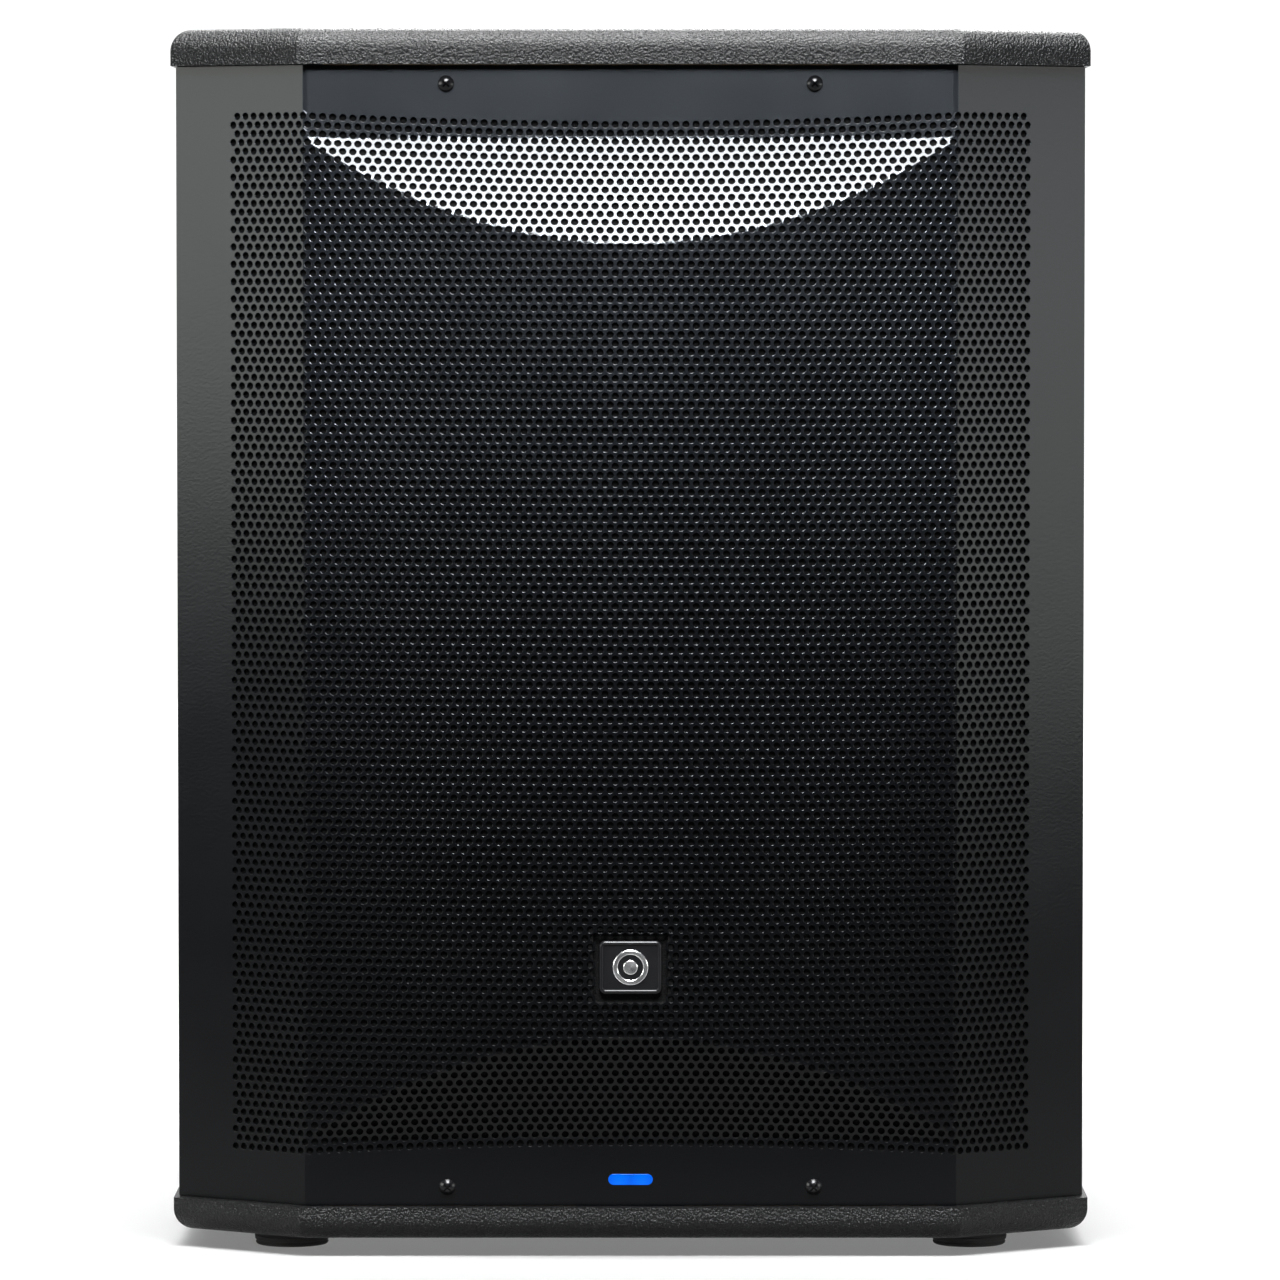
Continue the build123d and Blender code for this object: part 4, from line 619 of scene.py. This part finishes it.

# %% [markdown]
# ## The badge
# A small plate sits in a window at the foot of the grille. The window's edge follows the
# honeycomb, so it is wavy. Behind it a pressed tray closes the gap; it wears the black foam
# finish, a dark matt sheet standing in for the shade round the plate. Tray and plate are stacks of
# rounded rectangles: each ring has its own size and depth, and the skin runs from ring to ring.
# The mark on it is a plain ring and disc, which belongs to nobody.

# %% Stack rounded rectangles


def rounded_ring(half_width, half_height, corner, y, centre=(0.0, 0.0), per_corner=8):
    """Quarter circles about four corner centres, in order round the plate, at depth y."""
    turn = np.radians(np.linspace(0, 90, per_corner))
    angle = np.concatenate([turn + np.radians(quarter) for quarter in (0, 90, 180, 270)])
    sign_x = np.repeat([1, -1, -1, 1], per_corner)
    sign_z = np.repeat([1, 1, -1, -1], per_corner)
    x = centre[0] + sign_x * (half_width - corner) + corner * np.cos(angle)
    z = centre[1] + sign_z * (half_height - corner) + corner * np.sin(angle)
    return np.stack([x, np.full(x.shape, y), z], -1)


def plate_skin(levels, centre, corner, close_first=True):
    """Levels of (half width, half height, y), each corner shrinking with its ring."""
    widest = max(level[0] for level in levels)
    rings = []
    for half_width, half_height, y in levels:
        radius = max(corner - (widest - half_width), 0.15)
        radius = min(radius, half_width * 0.98, half_height * 0.98)
        rings.append(rounded_ring(half_width, half_height, radius, y, centre))
    return ring_skin(np.array(rings), close_first)


tray_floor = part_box("badge_plate")[1].y / MM
sheet_back = CROWN_Y + STEEL + 0.15
tray_levels = [(23.0, 22.0, sheet_back), (21.0, 20.0, sheet_back), (20.5, 19.5, sheet_back + 0.4),
               (20.3, 19.3, tray_floor - 0.4), (19.8, 18.8, tray_floor), (0.6, 0.6, tray_floor)]
tray = make_piece("badge_tray", *plate_skin(tray_levels, (0, BADGE_Z), 4.0, close_first=False),
                  slot="grille_steel", stands_for=["grille"], smooth=False)
thicken(tray, 0.8)

badge_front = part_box("badge_plate")[0].y / MM
badge_levels = [(17.0, 14.5, tray_floor), (17.0, 14.5, badge_front + 1.0),
                (16.7, 14.2, badge_front + 0.35), (16.1, 13.6, badge_front),
                (15.3, 12.8, badge_front), (14.9, 12.4, badge_front + 0.3),
                (14.7, 12.2, badge_front + 0.8), (9.0, 7.5, badge_front + 0.62),
                (0.3, 0.3, badge_front + 0.55)]
badge = make_piece("badge_face", *plate_skin(badge_levels, (0, BADGE_Z), 3.4),
                   slot="black_plastic", stands_for=["badge_plate"], smooth=False)


# %% [markdown]
# ## Turned pieces
# Feet, knobs, grips and the emblem's ring are bodies of revolution: one profile swept round
# an axis. Flutes and ribs are only a small change of radius with angle or height, so they cost
# one more term in the formula.

# %% Turn a profile round an axis


def turned(profile, centre, axis, around=48, flutes=0, flute_depth=0.0):
    """Points (radius, height) swept round an axis; flutes take a cosine bite from the radius."""
    radius, height = np.asarray(profile, float).T
    angle = np.linspace(0, 2 * np.pi, around, endpoint=False)
    bite = 1 - flute_depth * (0.5 + 0.5 * np.cos(flutes * angle)) ** 3
    side = radius[:, None] * np.where(radius[:, None] > 1, bite, 1.0)
    lifted = np.broadcast_to(height[:, None], side.shape)
    flat = [side * np.cos(angle), side * np.sin(angle), lifted]
    order = {"Z": (0, 1, 2), "Y": (1, 2, 0), "X": (2, 0, 1)}[axis]
    return np.stack([flat[k] for k in order], -1) + np.asarray(centre, float)


def ring_loop(rings):
    """A closed section carried round: the last ring joins the first, as on a washer."""
    levels, around = rings.shape[:2]
    return outward(rings.reshape(-1, 3), [grid_faces(levels, around, True, True)])


emblem_centre = (0, badge_front + 0.75, BADGE_Z)
emblem_rings = [(9.6, 0), (9.6, -0.5), (9.2, -0.8), (7.4, -0.8), (7.0, -0.5), (7.0, 0)]
ring_points = turned([(r, h) for r, h in emblem_rings], emblem_centre, "Y", 72)
disc_points, disc_faces = ring_skin(
    turned([(3.9, 0), (3.9, -0.5), (3.5, -0.8), (1.6, -0.62), (0.2, -0.55)], emblem_centre, "Y", 72)
)
ring_points, ring_faces = ring_loop(ring_points)
emblem = make_piece("emblem_ring_and_disc", np.concatenate([ring_points, disc_points]),
                    ring_faces + [faces + len(ring_points) for faces in disc_faces],
                    slot="silver_trim", stands_for=["badge_emblem"], smooth=False)

foot_places = [(x, y) for x in (-188, 188) for y in (-225, 245)]
foot_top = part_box("rubber_feet")[1].z / MM
foot_profile = [(21.0, foot_top), (21.0, 6.6), (20.3, 6.2), (20.3, 5.4), (20.8, 5.0), (20.5, 3.0),
                (19.9, 2.6), (19.9, 1.9), (20.2, 1.5), (19.9, 0.6), (19.2, 0.12), (18.2, 0.0),
                (14.5, 0.0), (14.1, 0.5), (13.3, 0.5), (12.9, 0.0), (9.2, 0.0), (8.6, 0.5),
                (8.5, 4.0), (2.3, 4.0), (2.3, foot_top)]
feet = [ring_loop(turned(foot_profile, (x, y, 0), "Z", 64)) for x, y in foot_places]
foot_faces = [faces[0] + k * len(feet[0][0]) for k, (_, faces) in enumerate(feet)]
foot_piece = make_piece("feet_with_grooves", np.concatenate([points for points, _ in feet]),
                        foot_faces, slot="black_rubber", stands_for=["rubber_feet"], smooth=False)
paint(rubber, foot_piece)


def knob(name, node, body):
    """A fluted skirt with a domed cap and a shaft, on the rear panel's control."""
    low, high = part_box(node)
    centre = ((low.x + high.x) / 2 / MM, high.y / MM, (low.z + high.z) / 2 / MM)
    back = low.y / MM - high.y / MM
    profile = [(2.9, back), (2.9, -11.2), (7.6, -11.2), (7.95, -10.8), (7.7, -7.0), (7.2, -2.2),
               (6.8, -1.0), (5.8, -0.25), (4.4, 0.0), (2.0, -0.3), (0.3, -0.4)]
    points, faces = ring_skin(turned(profile, centre, "Y", 144, 18, 0.09))
    piece = make_piece(name, points, faces, body, slot="black_plastic", stands_for=[node])
    pointer = plate_skin([(0.5, 2.4, centre[1] - 1.6), (0.5, 2.4, centre[1] + 0.02)],
                         (centre[0], centre[2] + 4.6), 0.3)
    line = make_piece(name + "_pointer", *pointer, body, slot="silver_trim", smooth=False)
    return piece, line


level_knob, level_line = knob("level_knob_fluted", "level_knob", "level_control")
crossover_knob, crossover_line = knob("crossover_knob_fluted", "crossover_knob", "crossover_control")
paint(smooth_plastic, level_knob, crossover_knob)


def grip(name, sign):
    """A rubber sleeve with shallow finger ribs on a steel bar, closed at both ends."""
    low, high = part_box("handle_grips")
    x = sign * (high.x / MM - 10)
    half = (high.y - low.y) / 2 / MM
    along = np.linspace(-half + 12, half - 12, 121)
    ribs = 9.55 - 0.35 * np.cos(2 * np.pi * along / 7.2)
    taper = np.clip((half - 12 - np.abs(along)) / 1.6, 0, 1)
    sleeve = 8.2 + (ribs - 8.2) * np.sqrt(1 - (1 - taper) ** 2)
    bar = [(0.3, -half), (8, -half), (8, -half + 11.9)]
    profile = bar + list(zip(sleeve, along)) + [(r, -h) for r, h in bar[::-1]]
    centre = (x, (low.y + high.y) / 2 / MM, (low.z + high.z) / 2 / MM)
    return make_piece(name, *ring_skin(turned(profile, centre, "Y", 48)), slot="black_plastic",
                      stands_for=["handle_grips"])


grips = [grip("grip_right", 1), grip("grip_left", -1)]
paint(rubber, *grips)

# %% [markdown]
# ## Silver, paint lines and a light
# The emblem and pointers are spun and printed silver. Spinning leaves rings, so its noise
# follows the distance from the centre; two opposite quarters are painted lighter, a painted
# reflection of the spun sheen. The power light is a lens over two blue lamps: brightest
# over the lamps, deeper blue at the rim.

# %% Silver and the badge plate
silver = Finish("spun_silver", Metallic=1.0)
off_x = silver.place.axis("X")
off_z = silver.place.axis("Z") - BADGE_Z * MM
radius = (off_x * off_x + off_z * off_z).math("SQRT")
rings = (radius * (6.2832 / 0.00035)).math("SINE") * 0.5 + 0.5
# painted reflection: two opposite quarters round the centre are lighter, the bow-tie sheen of spun
# metal
painted_sheen = (off_x.math("ARCTAN2", off_z) * 2).math("SINE") * 0.5 + 0.5
silver.lay(Base_Color=(rings * 0.3 + painted_sheen * 0.7).tint((0.48, 0.48, 0.49), (0.86, 0.86, 0.86)),
           Roughness=0.2 + rings * 0.12)
silver.emboss(rings, 0.01)
paint(silver, emblem, "badge_emblem", level_line, crossover_line)
paint(smooth_plastic, badge, "badge_plate")
# painted shade: the tray wears the matt black foam finish, a dark sheet standing in for the shade
# round the plate
paint(foam, tray)
paint(powder, "grille")
paint(rubber, "rubber_feet", "handle_grips")
paint(smooth_plastic, "level_knob", "crossover_knob")

# %% The blue power light
lens_low, lens_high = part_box("led_lens")
LENS_X, LENS_Z = 0.0, (lens_low.z + lens_high.z) / 2 / MM
lens_front = lens_low.y / MM
lens_levels = [(12.2, 3.0, BORDER_Y + 0.4), (12.2, 3.0, lens_front + 0.12),
               (11.9, 2.7, lens_front), (11.2, 2.0, lens_front - 0.05),
               (8.4, 0.4, lens_front - 0.1)]
lens = make_piece("power_light", *plate_skin(lens_levels, (LENS_X, LENS_Z), 3.0), slot="blue_light",
                  stands_for=["led_lens"])
glow = Finish("blue_power_light", Roughness=0.12, Specular_IOR_Level=0.1, Emission_Strength=1.0)
across = glow.place.axis("X")
lamps = (across.math("ABSOLUTE") - 6 * MM).math("ABSOLUTE").between(7 * MM, 0.0)
depth_blue = lamps.tint((0.0, 0.12, 0.80), (0.0, 0.155, 0.95))
glow.lay(Base_Color=lamps.tint((0.0, 0.005, 0.04), (0.0, 0.01, 0.08)), Emission_Color=depth_blue)
paint(glow, lens, "led_lens")

status = Finish("status_lights", Roughness=0.15, Emission_Strength=2.0)
first_two = status.place.axis("X").between(-0.030, -0.034)
status.lay(Base_Color=first_two.tint((0.02, 0.30, 0.06), (0.4, 0.05, 0.02)),
           Emission_Color=first_two.tint((0.02, 0.55, 0.10), (0.05, 0.004, 0.002)))
paint(status, "status_lights")

# %% [markdown]
# ## The rear panel's print
# The amplifier's panel is black anodised sheet with printed scales and frames. A printed line
# has no thickness, so it belongs in the material. A scale is a band of radius round the knob's
# centre, cut into ticks by the angle; a frame is the edge of a box's distance field.

# %% Print scales and frames on the panel
panel = Finish("printed_black_panel", Metallic=0.3)
panel_x, panel_z = panel.place.axis("X") / MM, panel.place.axis("Z") / MM


def dial(centre_x, centre_z):
    """Eleven ticks, 30 degrees apart, between two radii."""
    across, up = panel_x - centre_x, panel_z - centre_z
    reach = (across * across + up * up).math("SQRT")
    turn = across.math("ARCTAN2", up) * (180 / np.pi / 30)
    tick = ((turn + 0.5).math("FRACT") - 0.5).math("ABSOLUTE") * reach * np.radians(30)
    band = (reach - 11.2).math("ABSOLUTE")
    upper = turn.math("ABSOLUTE").math("LESS_THAN", 5.3)
    return tick.math("LESS_THAN", 0.22) * band.math("LESS_THAN", 1.1) * upper


def outline(low_x, high_x, low_z, high_z):
    """The line where the larger of the two distances to a box's sides is near zero."""
    beside = (panel_x - (low_x + high_x) / 2).math("ABSOLUTE") - (high_x - low_x) / 2
    above = (panel_z - (low_z + high_z) / 2).math("ABSOLUTE") - (high_z - low_z) / 2
    return beside.math("MAXIMUM", above).math("ABSOLUTE").math("LESS_THAN", 0.2)


def centre_of(node):
    low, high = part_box(node)
    return (low.x + high.x) / 2 / MM, (low.z + high.z) / 2 / MM


level_at, crossover_at = centre_of("level_knob"), centre_of("crossover_knob")
printed = dial(*level_at).math("MAXIMUM", dial(*crossover_at))
for frame_line in ((31, 109, 405, 445), (-49, 29, 405, 445), (-49, 109, 354, 392)):
    printed = printed.math("MAXIMUM", outline(*frame_line))
brushed = panel.noise(0.5, 3.0, (0.04, 1, 1))
panel.lay(Base_Color=printed.tint(brushed.tint((0.010, 0.010, 0.011), (0.026, 0.026, 0.028)),
                                  (0.72, 0.72, 0.70)),
          Roughness=0.38 + brushed * 0.12 + printed * 0.15)
panel.emboss(brushed, 0.015)
paint(panel, "amp_panel")

pole_steel = metal("black_plated_plate", (0.03, 0.03, 0.032), (0.08, 0.08, 0.085), 0.3,
                   (1, 0.05, 1))
paint(pole_steel, "pole_mount")
bare_nodes = [name for name, node in nodes.items() if not node.data.materials]
print("solid nodes without a finish:", bare_nodes)

# %% [markdown]
# ## A plain studio
# The cabinet stands on a pale floor that curves up into a backdrop, as a roll of paper does. A
# wide soft panel above and in front lights the bowed grille's upper facet and the plates' rounded
# edges; the dark room in front keeps the upright steel black. A white floor and black steel need
# different amounts of light, so some panels reach only the floor, one only the grille, and the
# rest everything but the floor. The panel called lift lets the cabinet cast no shadow. The camera
# is far away with a long lens, so upright lines stay nearly parallel.

# %% Floor and light
FLOOR_FRONT, FLOOR_BEND, BEND_RADIUS, PAPER_TOP, HALF_FLOOR = -7.0, 5.4, 1.8, 7.0, 9.0  # metres
bend_angle = np.radians(np.linspace(0, 90, 25))
bend_y = FLOOR_BEND + BEND_RADIUS * np.sin(bend_angle)
bend_z = BEND_RADIUS - BEND_RADIUS * np.cos(bend_angle)
floor_profile = [(FLOOR_FRONT, 0.0), (FLOOR_BEND, 0.0), *zip(bend_y, bend_z)]
floor_profile += [(FLOOR_BEND + BEND_RADIUS, PAPER_TOP)]
floor_y, floor_z = np.array(floor_profile).T
floor_x = np.array([-HALF_FLOOR, HALF_FLOOR])
floor_points = np.stack([np.broadcast_to(floor_x, (len(floor_y), 2)),
                         np.broadcast_to(floor_y[:, None], (len(floor_y), 2)),
                         np.broadcast_to(floor_z[:, None], (len(floor_y), 2))], -1)
floor_mesh = bpy.data.meshes.new("paper_floor")
floor_mesh.from_pydata(floor_points.reshape(-1, 3).tolist(), [],
                       grid_faces(len(floor_y), 2).tolist())
floor_mesh.polygons.foreach_set("use_smooth", np.full(len(floor_mesh.polygons), True))
floor = bpy.data.objects.new("paper_floor", floor_mesh)
bpy.context.scene.collection.objects.link(floor)
paper = Finish("white_paper", Roughness=0.9, Specular_IOR_Level=0.1)
paper.lay(Base_Color=paper.noise(900, 2.0).tint((0.86, 0.86, 0.865), (0.90, 0.90, 0.90)))
floor_mesh.materials.append(paper.material)


def linked(name, pieces, state):
    """A collection that tells a light to reach only these pieces, or everything but them."""
    members = bpy.data.collections.new(name)
    for piece in pieces:
        members.objects.link(piece)
    for member in members.collection_objects:
        member.light_linking.link_state = state
    return members


only_floor = linked("only_floor", [floor], "INCLUDE")
not_floor = linked("not_floor", [floor], "EXCLUDE")
only_grille = linked("only_grille", grille_pieces, "INCLUDE")


def soft_panel(name, place, aim, width, height, power, colour=(1, 1, 1), reach=not_floor,
               spread=180, blocked=True):
    """A rectangular light at place, facing aim; unless blocked, only the floor casts its shadow."""
    lamp = bpy.data.lights.new(name, "AREA")
    lamp.shape, lamp.size, lamp.size_y = "RECTANGLE", width, height
    lamp.energy, lamp.color, lamp.spread = power, colour, np.radians(spread)
    holder = bpy.data.objects.new(name, lamp)
    bpy.context.scene.collection.objects.link(holder)
    holder.location = place
    direction = Vector(aim) - Vector(place)
    holder.rotation_euler = direction.to_track_quat("-Z", "Y").to_euler()
    holder.visible_camera = False
    holder.light_linking.receiver_collection = reach
    if not blocked:
        holder.light_linking.blocker_collection = only_floor


soft_panel("front_top", (0, -1.55, 1.80), (0, -0.29, 0.58), 1.0, 0.5, 112, (0.95, 0.97, 1.0))
soft_panel("top_edge", (0, -1.0, 1.02), (0, -0.28, 0.63), 1.0, 0.25, 15, (0.85, 0.93, 1.0),
           reach=only_grille, spread=40)
soft_panel("overhead", (0, -0.45, 2.3), (0, -0.35, 0.6), 1.2, 2.0, 330)
soft_panel("left_side", (-1.8, -0.95, 0.76), (-0.21, -0.25, 0.5), 0.9, 0.8, 19, (0.97, 1.0, 0.94))
soft_panel("right_side", (1.8, -0.95, 0.50), (0.21, -0.25, 0.4), 0.9, 0.6, 10, (0.98, 1.0, 0.96))
soft_panel("back_high", (0.4, 2.4, 2.0), (0, 0.3, 0.4), 1.6, 1.0, 90)
soft_panel("room", (0, -0.6, 2.6), (0, 0.45, 0), 3.4, 0.8, 25, reach=only_floor, spread=70)
soft_panel("lift", (0, -0.6, 2.6), (0, 0.45, 0), 3.4, 0.8, 9, reach=only_floor, spread=70,
           blocked=False)
soft_panel("behind", (0, 3.4, 3.0), (0, 4.6, 0), 7.0, 3.0, 300, reach=only_floor)

world = bpy.data.worlds.new("studio_room")
bpy.context.scene.world = world
world.use_nodes = True
world.node_tree.nodes["Background"].inputs["Color"].default_value = (0.9, 0.93, 1.0, 1.0)
world.node_tree.nodes["Background"].inputs["Strength"].default_value = 0.04
bpy.context.scene.view_settings.view_transform = "Standard"

# %% Camera
PLATE_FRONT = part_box("top_plate")[0].y
CAMERA_X, CAMERA_HEIGHT, DISTANCE, LOOK_DOWN = 0.0052, 0.547, 4.2, np.radians(2.844)
SENSOR_WIDTH, FOCAL_LENGTH = 36.0, 216.7
lens_view = bpy.data.cameras.new("long_lens")
lens_view.sensor_width = SENSOR_WIDTH
lens_view.lens = FOCAL_LENGTH
camera = bpy.data.objects.new("long_lens", lens_view)
bpy.context.scene.collection.objects.link(camera)
camera.location = (CAMERA_X, PLATE_FRONT - DISTANCE, CAMERA_HEIGHT)
camera.rotation_euler = (np.pi / 2 - LOOK_DOWN, 0, 0)
bpy.context.scene.camera = camera
print("camera at", [round(x, 3) for x in camera.location], "lens", round(lens_view.lens, 1))
